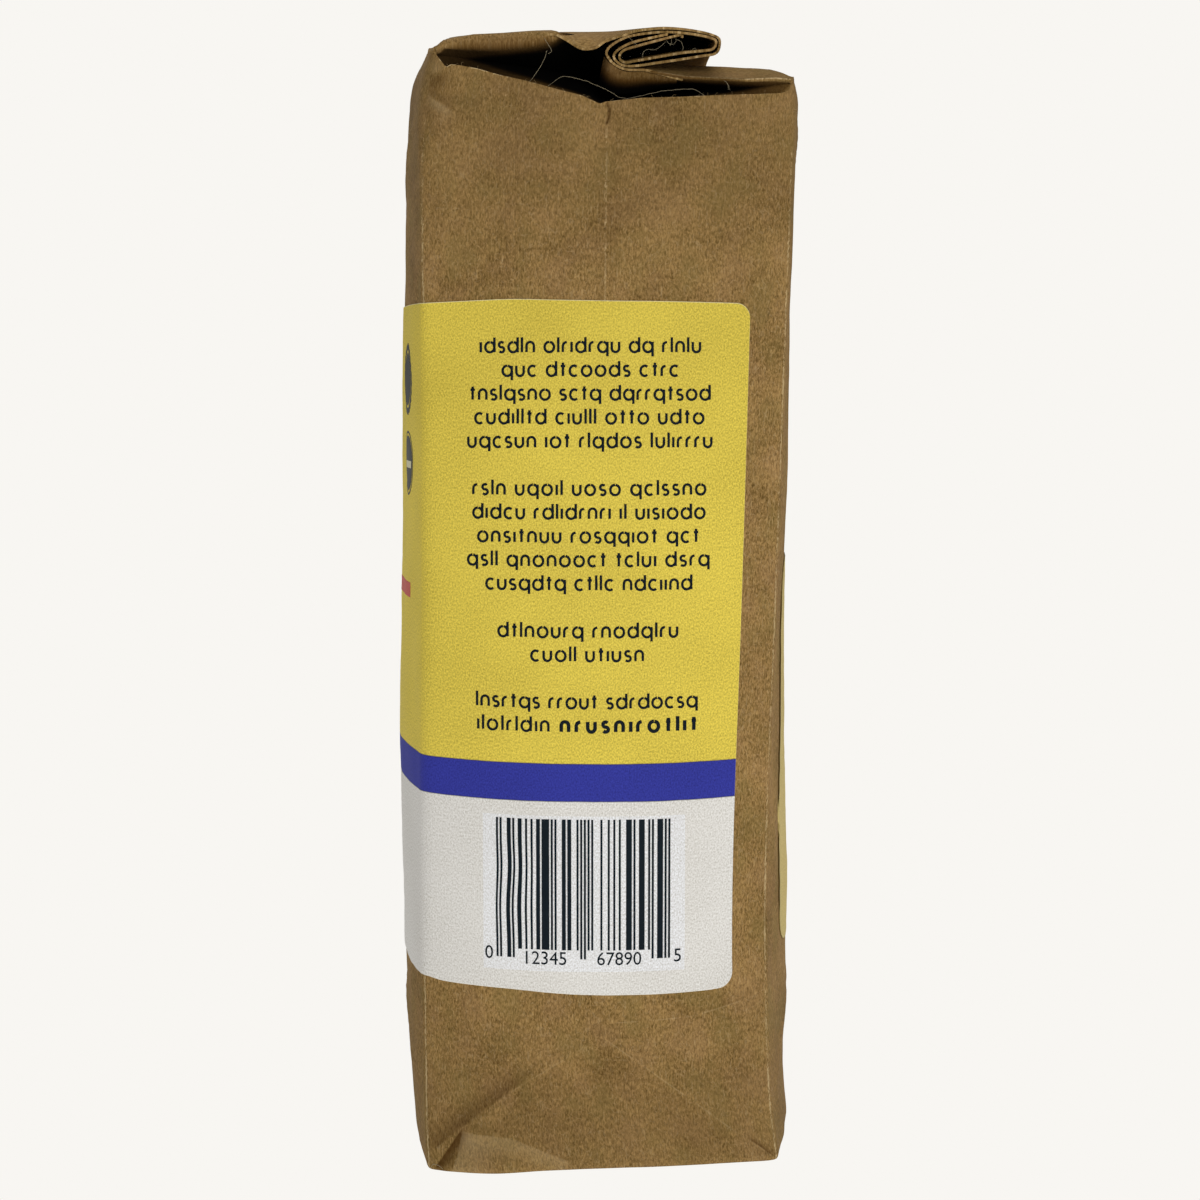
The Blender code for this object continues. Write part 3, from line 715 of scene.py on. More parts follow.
def addTongues(skin):
    pick = np.linspace(0.0, 1.0, tongue["columns"])

    def spread(key):
        line, _ = evenPath(tongue[key], 0.4)
        return np.stack([np.interp(pick, np.linspace(0, 1, len(line)), line[:, k]) for k in (0, 1)], -1)

    upper, lower = spread("edge"), spread("foot")
    rows = np.linspace(0.0, 1.0, tongue["rows"])[:, None, None]
    face = upper[None] + (lower - upper)[None] * rows
    tuck = (1.0 - np.minimum(1.0, pick[None] / tongue["tuckWidth"])) ** 2
    depth = tongue["depth"] - tongue["lean"] * rows[..., 0] ** 1.6 - tongue["tuck"] * tuck
    # painted shade: the tongue is darker deeper down, and all of it carries some painted shade
    dark = softStep(0.15, 0.95, rows[..., 0] + 0.0 * pick[None])
    for way in (-1, 1):
        # the columns run the other way at the near end, so that the outside faces out
        points = np.stack([face[..., 0], way * depth, face[..., 1]], -1)
        skin.shell(points[:, ::way], (face + 1900.0)[:, ::way], tongue["paper"], hollow=dark[:, ::way],
                   shade=0.45)


# Shader nodes.

class Value:
    # wraps a socket, so that sums on values can be written as Python

    def __init__(self, tree, socket):
        self.tree, self.socket = tree, socket

    def maths(self, operation, *others, clamp=False):
        settings = {"operation": operation, "use_clamp": clamp}
        return build(self.tree, "ShaderNodeMath", settings, self, *others)[0]

    def __add__(self, other):
        return self.maths("ADD", other)

    def __sub__(self, other):
        return self.maths("SUBTRACT", other)

    def __mul__(self, other):
        return self.maths("MULTIPLY", other)

    def __rsub__(self, other):
        return (self * -1.0) + other

    __radd__ = __add__
    __rmul__ = __mul__

    def closeness(self, sharpness):
        # 1 at zero, falling evenly to 0 on both sides
        return (1.0 - self.maths("ABSOLUTE") * sharpness).maths("MAXIMUM", 0.0)

    def clamped(self):
        return self.maths("ADD", 0.0, clamp=True)

    def step(self, low, high):
        # a soft step from 0 below low to 1 above high
        return build(self.tree, "ShaderNodeMapRange", {"interpolation_type": "SMOOTHSTEP"},
                     self, low, high, 0.0, 1.0)[0]


def plug(tree, socket, value):
    if isinstance(value, Value):
        tree.links.new(value.socket, socket)
    else:
        socket.default_value = value


def build(tree, kind, settings, *values, **named):
    # adds a node: its settings first, then its sockets in order or by name; returns its outputs
    node = tree.nodes.new(kind)
    for name, value in settings.items():
        setattr(node, name, value)
    sockets = [socket for socket in node.inputs if socket.enabled]
    pairs = list(zip(sockets, values)) + [(node.inputs[name.replace("_", " ")], value)
                                          for name, value in named.items()]
    for socket, value in pairs:
        if value is not None:
            plug(tree, socket, value)
    return [Value(tree, output) for output in node.outputs if output.enabled]


def colour(red, green, blue):
    # sRGB 0-255 to a shader colour
    return tuple((c / 255 / 12.92 if c <= 10 else ((c / 255 + 0.055) / 1.055) ** 2.4)
                 for c in (red, green, blue)) + (1.0,)


def tinted(tree, factor, first, second, blend="MIX"):
    # mixes colours, each one a value or three sRGB numbers
    node = tree.nodes.new("ShaderNodeMix")
    node.data_type, node.blend_type = "RGBA", blend
    colours = [part if isinstance(part, Value) else colour(*part) for part in (first, second)]
    for number, value in zip((0, 6, 7), (factor, *colours)):
        plug(tree, node.inputs[number], value)
    return Value(tree, node.outputs[2])


def newMaterial(name):
    material = bpy.data.materials.new(name)
    material.use_nodes = True
    tree = material.node_tree
    tree.nodes.clear()
    return material, tree


def finishShader(tree, baseColour, roughness, height, bumpDistance, specular=0.35, strength=1.0):
    bump = build(tree, "ShaderNodeBump", {}, Strength=strength, Distance=bumpDistance, Height=height)[0]
    shader = build(tree, "ShaderNodeBsdfPrincipled", {}, Base_Color=baseColour, Roughness=roughness,
                   Normal=bump, Specular_IOR_Level=specular)[0]
    build(tree, "ShaderNodeOutputMaterial", {}, shader)


def stretched(tree, place, across, along):
    return build(tree, "ShaderNodeMapping", {"vector_type": "POINT"}, place, Scale=(across, along, 1.0))[0]


def noise(tree, vector, scale, detail=3.0, rough=0.5, twist=0.0):
    return build(tree, "ShaderNodeTexNoise", {}, Vector=vector, Scale=scale, Detail=detail, Roughness=rough,
                 Distortion=twist)[0]


def attribute(tree, name):
    return build(tree, "ShaderNodeAttribute", {"attribute_name": name})[2]


# The paper's colours. The colours for folds, hollows and deep inside are painted shade, the worn colour also
# paints light on lit facets, and the darker colour for the top and foot is painted shade.
paper = {
    "dark": (94, 71, 33), "light": (175, 141, 88), "pink": (164, 128, 92), "olive": (128, 110, 62),
    "fibre": (200, 172, 126), "darkFibre": (74, 54, 26), "speck": (58, 42, 24), "worn": (204, 180, 136),
    "fold": (66, 38, 4), "inside": (3, 2, 1), "hidden": (96, 62, 16), "soiled": (96, 76, 44), "gain": 2.45,
}


def paintFoldShadeAndLight(tree, base, x, z, ends, broken, fold):
    # paints shade or light on the paper on one side of a straight fold, and draws its worn line
    (x0, z0), (x1, z1) = fold["from"], fold["to"]
    length = math.hypot(x1 - x0, z1 - z0)
    dx, dz = (x1 - x0) / length, (z1 - z0) / length
    along = x * dx + z * dz - (x0 * dx + z0 * dz)
    off = z * dx - x * dz - (z0 * dx - x0 * dz)
    within = along.step(-0.8, 1.2) * (1.0 - along.step(length - fold.get("fade", 1.2), length + 0.8)) * ends
    for side, amount in ((1.0, fold.get("above")), (-1.0, fold.get("below"))):
        if amount:
            near = off * side
            strength = near.step(-0.10, fold.get("soft", 0.22)) * (1.0 - near.step(0.0, fold["reach"]))
            tint = paper["fold"] if amount > 0.0 else paper["worn"]
            base = tinted(tree, strength * within * abs(amount), base, tint)
    if "line" in fold:
        base = tinted(tree, off.closeness(5.0) * within * broken * fold["line"], base, paper["worn"])
    return base


def brownPaperMaterial():
    material, tree = newMaterial("brownPaper")
    place = build(tree, "ShaderNodeUVMap", {"uv_map": "paperPlace"})[0]
    x, y, height = build(tree, "ShaderNodeSeparateXYZ", {}, build(tree, "ShaderNodeTexCoord", {})[3])
    wear, shade, hollow = attribute(tree, "wear"), attribute(tree, "shade"), attribute(tree, "hollow")
    # the fibres: short upright flecks, finer strands over them and slow clouds below
    grain = noise(tree, stretched(tree, place, 32.0, 14.0), 1.0, 3.0, 0.55, 0.7)
    fleck = noise(tree, stretched(tree, place, 11.0, 7.0), 1.0, 2.0, 0.5, 1.6)
    cloud = noise(tree, place, 0.75, 2.0)
    patch = noise(tree, stretched(tree, place, 1.0, 0.8), 1.3, 2.0)
    tone = 0.5 + (grain - 0.5) * paper["gain"] + (fleck - 0.5) * 0.55 + (cloud - 0.5) * 0.85
    base = tinted(tree, tone.clamped(), paper["dark"], paper["light"])
    base = tinted(tree, patch.step(0.48, 0.66) * 0.20, base, paper["pink"])
    base = tinted(tree, (1.0 - patch.step(0.32, 0.50)) * 0.34, base, paper["olive"])
    strands = noise(tree, stretched(tree, place, 34.0, 3.6), 1.0, 2.0, 0.5)
    base = tinted(tree, strands.step(0.60, 0.74) * 0.38, base, paper["fibre"])
    base = tinted(tree, (1.0 - strands.step(0.27, 0.38)) * 0.55, base, paper["darkFibre"])
    # thin curled fibres: the level lines of a noise, where another noise lets them show
    curls = noise(tree, stretched(tree, place, 5.0, 3.6), 1.0, 1.5, 0.5) - 0.5
    curl = curls.closeness(30.0) * fleck.step(0.46, 0.58)
    base = tinted(tree, curl * 0.34, base, paper["darkFibre"])
    strayed = (noise(tree, stretched(tree, place, 6.0, 4.4), 1.0, 1.5, 0.5, 0.5) - 0.5).closeness(34.0)
    base = tinted(tree, strayed * (1.0 - fleck.step(0.44, 0.56)) * 0.30, base, paper["fibre"])
    specks = build(tree, "ShaderNodeTexVoronoi", {}, Vector=stretched(tree, place, 8.0, 6.0), Scale=1.0)
    chosen = build(tree, "ShaderNodeSeparateColor", {}, specks[1])[0].step(0.80, 0.9)
    base = tinted(tree, (1.0 - specks[0].step(0.03, 0.12)) * chosen * 0.7, base, paper["speck"])
    # painted shade: a little darker towards the top and at the foot
    soiled = height.step(0.140, 0.200) * (0.40 - height.step(0.2045, 0.2075) * 0.22)
    soiled = soiled + (1.0 - height.step(0.0, 0.045)) * 0.26
    base = tinted(tree, soiled, base, paper["soiled"])
    # painted shade and painted light beside the folds at both gusset ends, with their worn lines
    ends = y.maths("ABSOLUTE").step(0.0515, 0.0530)
    broken = noise(tree, place, 2.4, 2.0).step(0.40, 0.58)
    for fold in foldShadeAndLight:
        base = paintFoldShadeAndLight(tree, base, x * 1000.0, height * 1000.0, ends, broken, fold)
    rubbed = wear * 1.5 + (grain - 0.5) * 1.6 + (fleck - 0.5) * 1.6 - 0.45
    base = tinted(tree, rubbed.maths("MULTIPLY", 1.6, clamp=True) * 0.75, base, paper["worn"])
    # painted shade in creases and on the tongues, then in the hollows and under the roll, nearly black deep
    # inside
    base = tinted(tree, shade, base, paper["fold"])
    base = tinted(tree, hollow.step(0.0, 0.35) * 0.55, base, paper["hidden"])
    base = tinted(tree, hollow.step(0.05, 1.0).maths("POWER", 0.6), base, paper["inside"])
    relief = grain * 0.6 + strands * 0.3 + fleck * 0.6 + curl * 0.3
    finishShader(tree, base, 0.86, relief, 0.00011, specular=0.06, strength=0.6)
    return material


# The labels.

label = {
    "bottom": 34.8, "top": 159.7, "corner": 2.8, "gap": 0.08, "paper": 0.16,
    "bottomBow": ((-31.5, 0.0), (-28.5, -0.4), (-16.6, -0.55), (-9.2, -0.95), (-1.8, -1.3), (20.0, -1.3),
                  (25.0, -1.0)),
    "topBow": ((-32.0, 0.35), (-24.0, 0.65), (-16.6, 0.9), (-9.0, 0.75), (1.8, 0.55), (9.0, 0.5),
               (25.0, 0.2)),
    "firstSide": 0.05, "lastPlace": 0.895,        # on the front panel, and on the near gusset side
    "stripe": (69.6, 76.5), "patch": (-21.4, 15.5, 37.9, 66.9),
    "yellow": (240, 218, 91), "blue": (58, 64, 168), "pale": (239, 238, 235), "white": (246, 248, 252),
    "outline": (50, 50, 60), "grain": (132, 120, 92), "dusk": (150, 142, 118), "cut": (240, 236, 218),
}
# The back label: its yellow is duller than the front label's, partly its own colour and partly painted shade
# of its shaded side; its edge colour is a painted shadow line.
backLabel = {
    "bottom": 36.6, "top": 112.0, "corner": 10.0, "first": 0.125, "last": 0.90, "wave": 4.6, "lift": 0.12,
    "waveHeight": 61.0, "darkFrom": 41.0,
    "tint": (216, 195, 126), "edge": (84, 66, 30),
}


def labelSheet(parts, bottom, topEdge, radius, rows, bows=None):
    # parts: (side, places along it); the sheet is cut round at its corners
    middleZ = (bottom + topEdge) / 2.0
    middle = np.concatenate([roundedPoint(side, s[None, :], middleZ)[0][0] for side, s in parts])
    length = runLength(middle)
    edge = np.minimum(length, length[-1] - length)
    cut = radius - np.sqrt(np.clip(radius**2 - (radius - edge) ** 2, 0.0, None))
    cut = np.where(edge < radius, cut, 0.0)
    t = finePlaces(topEdge - bottom, rows, 0.14, 0.22)[:, None]
    if bows:
        bottom = bottom + smoothProfile(bows[0], middle[:, 0])
        topEdge = topEdge + smoothProfile(bows[1], middle[:, 0])
    z = bottom + cut[None] + (topEdge - bottom - 2.0 * cut[None]) * t
    grids, start = [], 0
    for side, s in parts:
        grids.append(roundedPoint(side, s[None, :], z[:, start:start + len(s)])[0])
        start += len(s)
    return np.concatenate(grids, 1), length, z


def labelMaterial(name, fields):
    material, tree = newMaterial(name)
    place = build(tree, "ShaderNodeUVMap", {"uv_map": "paperPlace"})[0]
    across, height, _ = build(tree, "ShaderNodeSeparateXYZ", {}, place)
    wobble = noise(tree, place, 3.0, 2.0)
    grain = noise(tree, place, 34.0, 4.0, 0.7)
    cloud = noise(tree, place, 0.5, 2.0)
    line = height + (wobble - 0.5) * 0.012
    low, high = (edge / 10.0 for edge in label["stripe"])

    def above(value, edge):
        # 1 past the edge of a printed field, very slightly soft
        return value.step(edge - 0.004, edge + 0.004)

    if fields:
        base = tinted(tree, above(line, high), label["blue"], label["yellow"])
        base = tinted(tree, above(line, low), label["pale"], base)
        left, right, foot, head = (edge / 10.0 for edge in label["patch"])
        for edge in (high, low):
            dark = 1.0 - (line - edge).maths("ABSOLUTE").step(0.004, 0.016)
            base = tinted(tree, dark * 0.55, base, label["outline"])
        inside = (above(across, left) * (1.0 - above(across, right))
                  * above(height, foot) * (1.0 - above(height, head)))
        base = tinted(tree, inside, base, label["white"])
    else:
        base = build(tree, "ShaderNodeRGB", {})[0]
        base.socket.default_value = colour(*backLabel["tint"])
    # the paper shows its fibres through the ink; the front label's cut edge is pale, and the back label's
    # edges are painted dark as the shadow line under them
    fine = noise(tree, stretched(tree, place, 38.0, 26.0), 1.0, 2.0, 0.6)
    tone = (fine - 0.5) * 3.0 + (grain - 0.5) * 1.8 + (cloud - 0.5) * 0.6
    inked = line.step(high, high + 0.01) * 0.10 + 0.40
    base = tinted(tree, ((0.5 - tone) * inked).clamped(), base, label["grain"], "MULTIPLY")
    # painted shade: the label is a little darker towards its top
    base = tinted(tree, height.step(11.8, 16.0) * 0.12, base, label["dusk"], "MULTIPLY")
    cutEdgeAndEdgeShadow = label["cut"] if fields else backLabel["edge"]
    base = tinted(tree, attribute(tree, "wear") * 0.6, base, cutEdgeAndEdgeShadow)
    finishShader(tree, base, 0.65, grain + wobble * 0.5, 0.00004, specular=0.05, strength=0.5)
    return material


def cutEdge(z):
    # marks the outermost points of a sheet
    marked = np.ones(z.shape)
    marked[1:-1, 1:-1] = 0.0
    return marked


cornerSteps = np.array((0.0, 0.012, 0.045, 0.10, 0.18, 0.29, 0.43, 0.60, 0.79, 1.0))


def makeFrontLabel():
    near, left = stations["near"], stations["left"]
    first, last = label["firstSide"], label["lastPlace"]
    leftRound, nearRound = label["corner"] / sideWidth["left"], label["corner"] / sideWidth["near"]
    leftPlaces = np.concatenate([first + cornerSteps * leftRound,
                                 left[(left > first + leftRound + 0.01) & (left < 1.0)]])
    nearPlaces = np.concatenate([near[near < last - nearRound - 0.006],
                                 last - cornerSteps[::-1] * nearRound])
    grid, length, z = labelSheet((("left", leftPlaces), ("near", nearPlaces)), label["bottom"], label["top"],
                                 label["corner"], 1.35, (label["bottomBow"], label["topBow"]))
    crease = len(leftPlaces)
    # across is X on the near side, so that the print can be placed there by X
    across = length[None, :] - length[crease] + grid[:, crease, 0][:, None]
    across = np.where(np.arange(grid.shape[1]) >= crease, grid[..., 0], across)
    skin = Skin()
    skin.shell(grid + gridNormals(grid) * label["gap"], np.stack([across, z], -1), label["paper"],
               outwards=True, wear=cutEdge(z))
    return skin.build("labelFront", labelMaterial("labelYellow", True), smoothAngle=60.0)


def makeBackLabel():
    right = stations["right"]
    first, last = backLabel["first"], backLabel["last"]
    width = backLabel["corner"] / sideWidth["right"]
    places = np.concatenate([first + cornerSteps * width,
                             right[(right > first + width + 0.01) & (right < last - width - 0.01)],
                             last - cornerSteps[::-1] * width])
    grid, length, z = labelSheet((("right", places),), backLabel["bottom"], backLabel["top"],
                                 backLabel["corner"], 1.2)
    skin = Skin()
    uv = np.stack([np.broadcast_to(length[None, :], z.shape), z], -1)
    # a small wave where the near edge has not been pressed down
    wave = bell(z - backLabel["waveHeight"], 3.2) * bell(length[None, :], 5.0)
    along = unit(np.gradient(grid, axis=1))
    grid = grid - along * (backLabel["wave"] * wave)[..., None]
    lift = label["gap"] + backLabel["lift"] * wave[..., None]
    # painted shadow: a dark line along the near edge from a little above the bottom up, and dark cut edges
    shadowShift = 4.0 * (1.0 - softStep(backLabel["bottom"], backLabel["darkFrom"], z))
    edge = np.maximum(cutEdge(z), 1.7 * bell(length[None, :] + shadowShift, 0.75))
    skin.shell(grid + gridNormals(grid) * lift, uv, label["paper"], outwards=True, wear=edge)
    return skin.build("labelBack", labelMaterial("labelPlainYellow", False), smoothAngle=60.0)


# Geometry node trees.

def geometryTree(name, inputs):
    tree = bpy.data.node_groups.new(name, "GeometryNodeTree")
    tree.interface.new_socket("Geometry", in_out="INPUT", socket_type="NodeSocketGeometry")
    sockets = {}
    for title, kind, default in inputs:
        socket = tree.interface.new_socket(title, in_out="INPUT", socket_type="NodeSocket" + kind)
        if default is not None:
            socket.default_value = default
        sockets[title] = socket.identifier
    tree.interface.new_socket("Geometry", in_out="OUTPUT", socket_type="NodeSocketGeometry")
    entry = build(tree, "NodeGroupInput", {})
    titles = ["geometry"] + [title for title, _, _ in inputs]
    return tree, sockets, dict(zip(titles, entry))


def endTree(tree, geometry, material):
    solid = build(tree, "GeometryNodeRealizeInstances", {}, geometry)[0]
    finished = build(tree, "GeometryNodeSetMaterial", {}, solid, None, material)[0]
    build(tree, "NodeGroupOutput", {}, finished)


def growPiece(name, points, edges, treeParts, pointValues=(), **values):
    # runs a tree on a wire of points and edges, and keeps the result as a plain mesh
    tree, sockets = treeParts
    wire = bpy.data.meshes.new(name + "Wire")
    wire.from_pydata([tuple(point) for point in points], edges, [])
    for title, numbers in pointValues:
        wire.attributes.new(title, "FLOAT", "POINT").data.foreach_set("value", numbers)
    piece = newObject(name, wire)
    modifier = piece.modifiers.new("grow", "NODES")
    modifier.node_group = tree
    for title, value in values.items():
        modifier[sockets[title]] = value
    bpy.context.view_layer.update()
    grown = bpy.data.meshes.new_from_object(piece.evaluated_get(bpy.context.evaluated_depsgraph_get()))
    piece.modifiers.remove(modifier)
    piece.data = grown
    grown.name = name
    bpy.data.meshes.remove(wire)
    used = [material for material in grown.materials if material]
    grown.materials.clear()
    grown.materials.append(used[0])
    grown.polygons.foreach_set("material_index", [0] * len(grown.polygons))
    return piece


def chain(paths):
    # open paths as one wire
    points, edges = [], []
    for path in paths:
        first = len(points)
        points += list(path)
        edges += [(first + i, first + i + 1) for i in range(len(path) - 1)]
    return points, edges


def strokeTree(material):
    # each path of the wire becomes a flat ribbon of ink
    tree, sockets, given = geometryTree("inkStrokes", (
        ("stroke", "Float", 0.0003), ("thickness", "Float", 0.00004), ("step", "Float", 0.00016)))
    curve = build(tree, "GeometryNodeMeshToCurve", {}, given["geometry"])[0]
    curve = build(tree, "GeometryNodeCurveSplineType", {"spline_type": "CATMULL_ROM"}, curve)[0]
    curve = build(tree, "GeometryNodeResampleCurve", {"mode": "LENGTH"}, curve, Length=given["step"])[0]
    curve = build(tree, "GeometryNodeSetCurveNormal", {"mode": "Z_UP"}, curve)[0]
    nib = build(tree, "GeometryNodeCurvePrimitiveQuadrilateral", {"mode": "RECTANGLE"},
                Width=given["stroke"], Height=given["thickness"])[0]
    ribbon = build(tree, "GeometryNodeCurveToMesh", {}, curve, nib, Fill_Caps=True)[0]
    endTree(tree, ribbon, material)
    return tree, sockets


def barTree(material):
    # each point of the wire becomes one upright bar; its width and height are stored on it
    tree, sockets, given = geometryTree("bars", (
        ("thickness", "Float", 0.00004), ("bends", "Int", 30)))
    box = build(tree, "GeometryNodeMeshCube", {}, (1.0, 1.0, 1.0), 2, given["bends"], 2)[0]
    width = build(tree, "GeometryNodeInputNamedAttribute", {"data_type": "FLOAT"}, "barWidth")[0]
    height = build(tree, "GeometryNodeInputNamedAttribute", {"data_type": "FLOAT"}, "barHeight")[0]
    size = build(tree, "ShaderNodeCombineXYZ", {}, width, height, given["thickness"])[0]
    bars = build(tree, "GeometryNodeInstanceOnPoints", {}, given["geometry"], Instance=box, Scale=size)[0]
    endTree(tree, bars, material)
    return tree, sockets


def strandTree(material):
    # each path of the wire becomes a thin round thread
    tree, sockets, given = geometryTree("strands", (
        ("radius", "Float", 0.00006), ("step", "Float", 0.0003), ("waver", "Float", 0.0002),
        ("waverSize", "Float", 900.0)))
    curve = build(tree, "GeometryNodeMeshToCurve", {}, given["geometry"])[0]
    curve = build(tree, "GeometryNodeCurveSplineType", {"spline_type": "CATMULL_ROM"}, curve)[0]
    curve = build(tree, "GeometryNodeResampleCurve", {"mode": "LENGTH"}, curve, Length=given["step"])[0]
    place = build(tree, "GeometryNodeInputPosition", {})[0]
    wobble = build(tree, "ShaderNodeTexNoise", {}, Vector=place, Scale=given["waverSize"], Detail=1.0)[1]
    centred = build(tree, "ShaderNodeVectorMath", {"operation": "SUBTRACT"}, wobble, (0.5, 0.5, 0.5))[0]
    move = build(tree, "ShaderNodeVectorMath", {"operation": "SCALE"}, centred, Scale=given["waver"])[0]
    curve = build(tree, "GeometryNodeSetPosition", {}, curve, Offset=move)[0]
    circle = build(tree, "GeometryNodeCurvePrimitiveCircle", {"mode": "RADIUS"}, Resolution=6,
                   Radius=given["radius"])[0]
    tube = build(tree, "GeometryNodeCurveToMesh", {}, curve, circle, Fill_Caps=True)[0]
    endTree(tree, tube, material)
    return tree, sockets


def fuzzTree(material):
    # short curled fibres that stand on the paths of the wire
    tree, sockets, given = geometryTree("fuzz", (
        ("spacing", "Float", 0.0004), ("length", "Float", 0.0008), ("radius", "Float", 0.00002),
        ("seed", "Int", 3)))
    curve = build(tree, "GeometryNodeMeshToCurve", {}, given["geometry"])[0]
    points = build(tree, "GeometryNodeCurveToPoints", {"mode": "LENGTH"}, curve, Length=given["spacing"])[0]
    hair = build(tree, "GeometryNodeCurvePrimitiveBezierSegment", {}, 5, (0.0, 0.0, 0.0), (0.1, 0.35, 0.3),
                 (0.5, 0.3, 0.8), (0.2, -0.1, 1.0))[0]
    circle = build(tree, "GeometryNodeCurvePrimitiveCircle", {"mode": "RADIUS"}, Resolution=4,
                   Radius=given["radius"].maths("DIVIDE", given["length"]))[0]
    tube = build(tree, "GeometryNodeCurveToMesh", {}, hair, circle, Fill_Caps=True)[0]
    spin = build(tree, "FunctionNodeRandomValue", {"data_type": "FLOAT_VECTOR"}, Min=(-1.9, -1.9, -3.1),
                 Max=(1.9, 1.9, 3.1), Seed=given["seed"])[0]
    size = build(tree, "FunctionNodeRandomValue", {"data_type": "FLOAT"}, Min=given["length"] * 0.3,
                 Max=given["length"], Seed=given["seed"])[0]
    keep = build(tree, "FunctionNodeRandomValue", {"data_type": "BOOLEAN"}, Probability=0.55,
                 Seed=given["seed"])[0]
    hairs = build(tree, "GeometryNodeInstanceOnPoints", {}, points, Selection=keep, Instance=tube,
                  Rotation=spin, Scale=size)[0]
    endTree(tree, hairs, material)
    return tree, sockets


# The print on the front label.

ink = {
    "dark": (12, 22, 30), "badge": (46, 48, 46), "badgePale": (196, 192, 160), "red": (176, 62, 48),
    "lift": 0.02, "thickness": 0.04,
}

# Lines of plain marks in word-like runs: (slot from the top, left end, right end) on the near side.
words = {
    "topLine": 151.0, "pitch": 4.2875, "markHeight": 1.84, "stroke": 0.45, "gap": 1.15, "spacing": 0.44,
    "lines": ((0, -21.6, 18.1), (1, -17.6, 14.1), (2, -23.5, 19.8), (3, -22.6, 18.7), (4, -23.9, 20.2),
              (6, -23.0, 19.1), (7, -23.0, 18.9), (8, -22.1, 17.8), (9, -24.0, 19.7), (10, -20.6, 16.5),
              (12, -18.4, 14.0), (13, -12.4, 7.8), (15, -22.4, 17.5), (16, -22.2, -9.2)),
    "boldLine": (16, -7.0, 17.5), "boldStroke": 0.64, "boldSpacing": 0.62,
    "slack": 0.4, "shortestRest": 3.6,      # in mark heights, at the end of a line
}

barCode = {
    "left": -18.95, "module": 0.334, "top": 66.3, "short": 42.0, "long": 40.3,
    "digits": "012345678905", "digitHeight": 2.6, "digitWidth": 0.93,
    "digitPlaces": ((-20.35, 39.8), (-10.1, 39.2), (3.5, 39.2), (14.2, 39.5)),
    "codes": ("0001101", "0011001", "0010011", "0111101", "0100011", "0110001", "0101111", "0111011",
              "0110111", "0001011"),
}


def wrapOnLabel(mesh, side="near"):
    # lays a flat layout (X across, Y up, Z out, in metres) on the front label
    across, up, out = (meshPoints(mesh) / mm).T
    if side == "near":
        low, high = cornerPlace(True, up)[0], cornerPlace(False, up)[0]
        s = (across - low) / (high - low)
    else:
        s = 0.5 - across / sideWidth["left"]       # across is Y on the front panel
    here = roundedPoint(side, s, up)[0]
    sideways = roundedPoint(side, s + 0.002, up)[0] - roundedPoint(side, s - 0.002, up)[0]
    upwards = roundedPoint(side, s, up + 0.2)[0] - roundedPoint(side, s, up - 0.2)[0]
    normal = unit(np.cross(sideways, upwards))
    lift = label["gap"] + label["paper"] + ink["lift"] + out
    movePoints(mesh, (here + normal * lift[:, None]) * mm)


def inkMaterial(name, tint, roughness=0.5):
    material, tree = newMaterial(name)
    place = build(tree, "ShaderNodeTexCoord", {})[3]
    grain = noise(tree, place, 4200.0, 3.0, 0.7)
    lighter = tuple(min(255, c * 1.2 + 8) for c in tint)
    base = tinted(tree, grain.step(0.40, 0.80), tint, lighter)
    finishShader(tree, base, roughness, grain, 0.00002, specular=0.08, strength=0.4)
    return material


def arc(x, y, width, height, start, turn):
    # part of an ellipse, in degrees
    angles = np.radians(start + turn * np.linspace(0.0, 1.0, max(4, int(abs(turn) / 22))))
    return [(x + width * math.cos(a), y + height * math.sin(a)) for a in angles]


# Plain marks, in parts of the mark height: how wide each is, and its strokes.
marks = (
    (0.92, (arc(0.46, 0.5, 0.46, 0.5, 90, 352),)),
    (0.74, (arc(0.42, 0.5, 0.42, 0.5, 52, 256),)),
    (0.74, ([(0.0, 0.0), (0.0, 0.35), (0.0, 0.62)] + arc(0.36, 0.62, 0.36, 0.38, 180, -180)
            + [(0.72, 0.3), (0.72, 0.0)],)),
    (0.74, ([(0.0, 1.0), (0.0, 0.7), (0.0, 0.38)] + arc(0.36, 0.38, 0.36, 0.38, 180, 180)
            + [(0.72, 0.7), (0.72, 1.0)],)),
    (0.02, ([(0.0, 0.0), (0.0, 0.5), (0.0, 1.0)],)),
    (0.02, ([(0.0, 0.0), (0.0, 0.7), (0.0, 1.45)],)),
    (0.44, ([(0.22, 0.0), (0.22, 0.6), (0.22, 1.3)], [(0.0, 0.96), (0.22, 0.96), (0.44, 0.96)])),
    (0.42, ([(0.0, 0.0), (0.0, 0.35), (0.0, 0.62)] + arc(0.40, 0.60, 0.40, 0.38, 180, -88),)),
    (0.56, (arc(0.28, 0.74, 0.25, 0.25, 40, 230) + arc(0.28, 0.25, 0.27, 0.25, 90, -230),)),
    (0.90, (arc(0.45, 0.5, 0.45, 0.5, 90, 352), [(0.90, 1.0), (0.90, 0.5), (0.90, -0.42)])),
    (0.90, (arc(0.45, 0.5, 0.45, 0.5, 90, 352), [(0.90, 0.0), (0.90, 0.7), (0.90, 1.45)])),
)


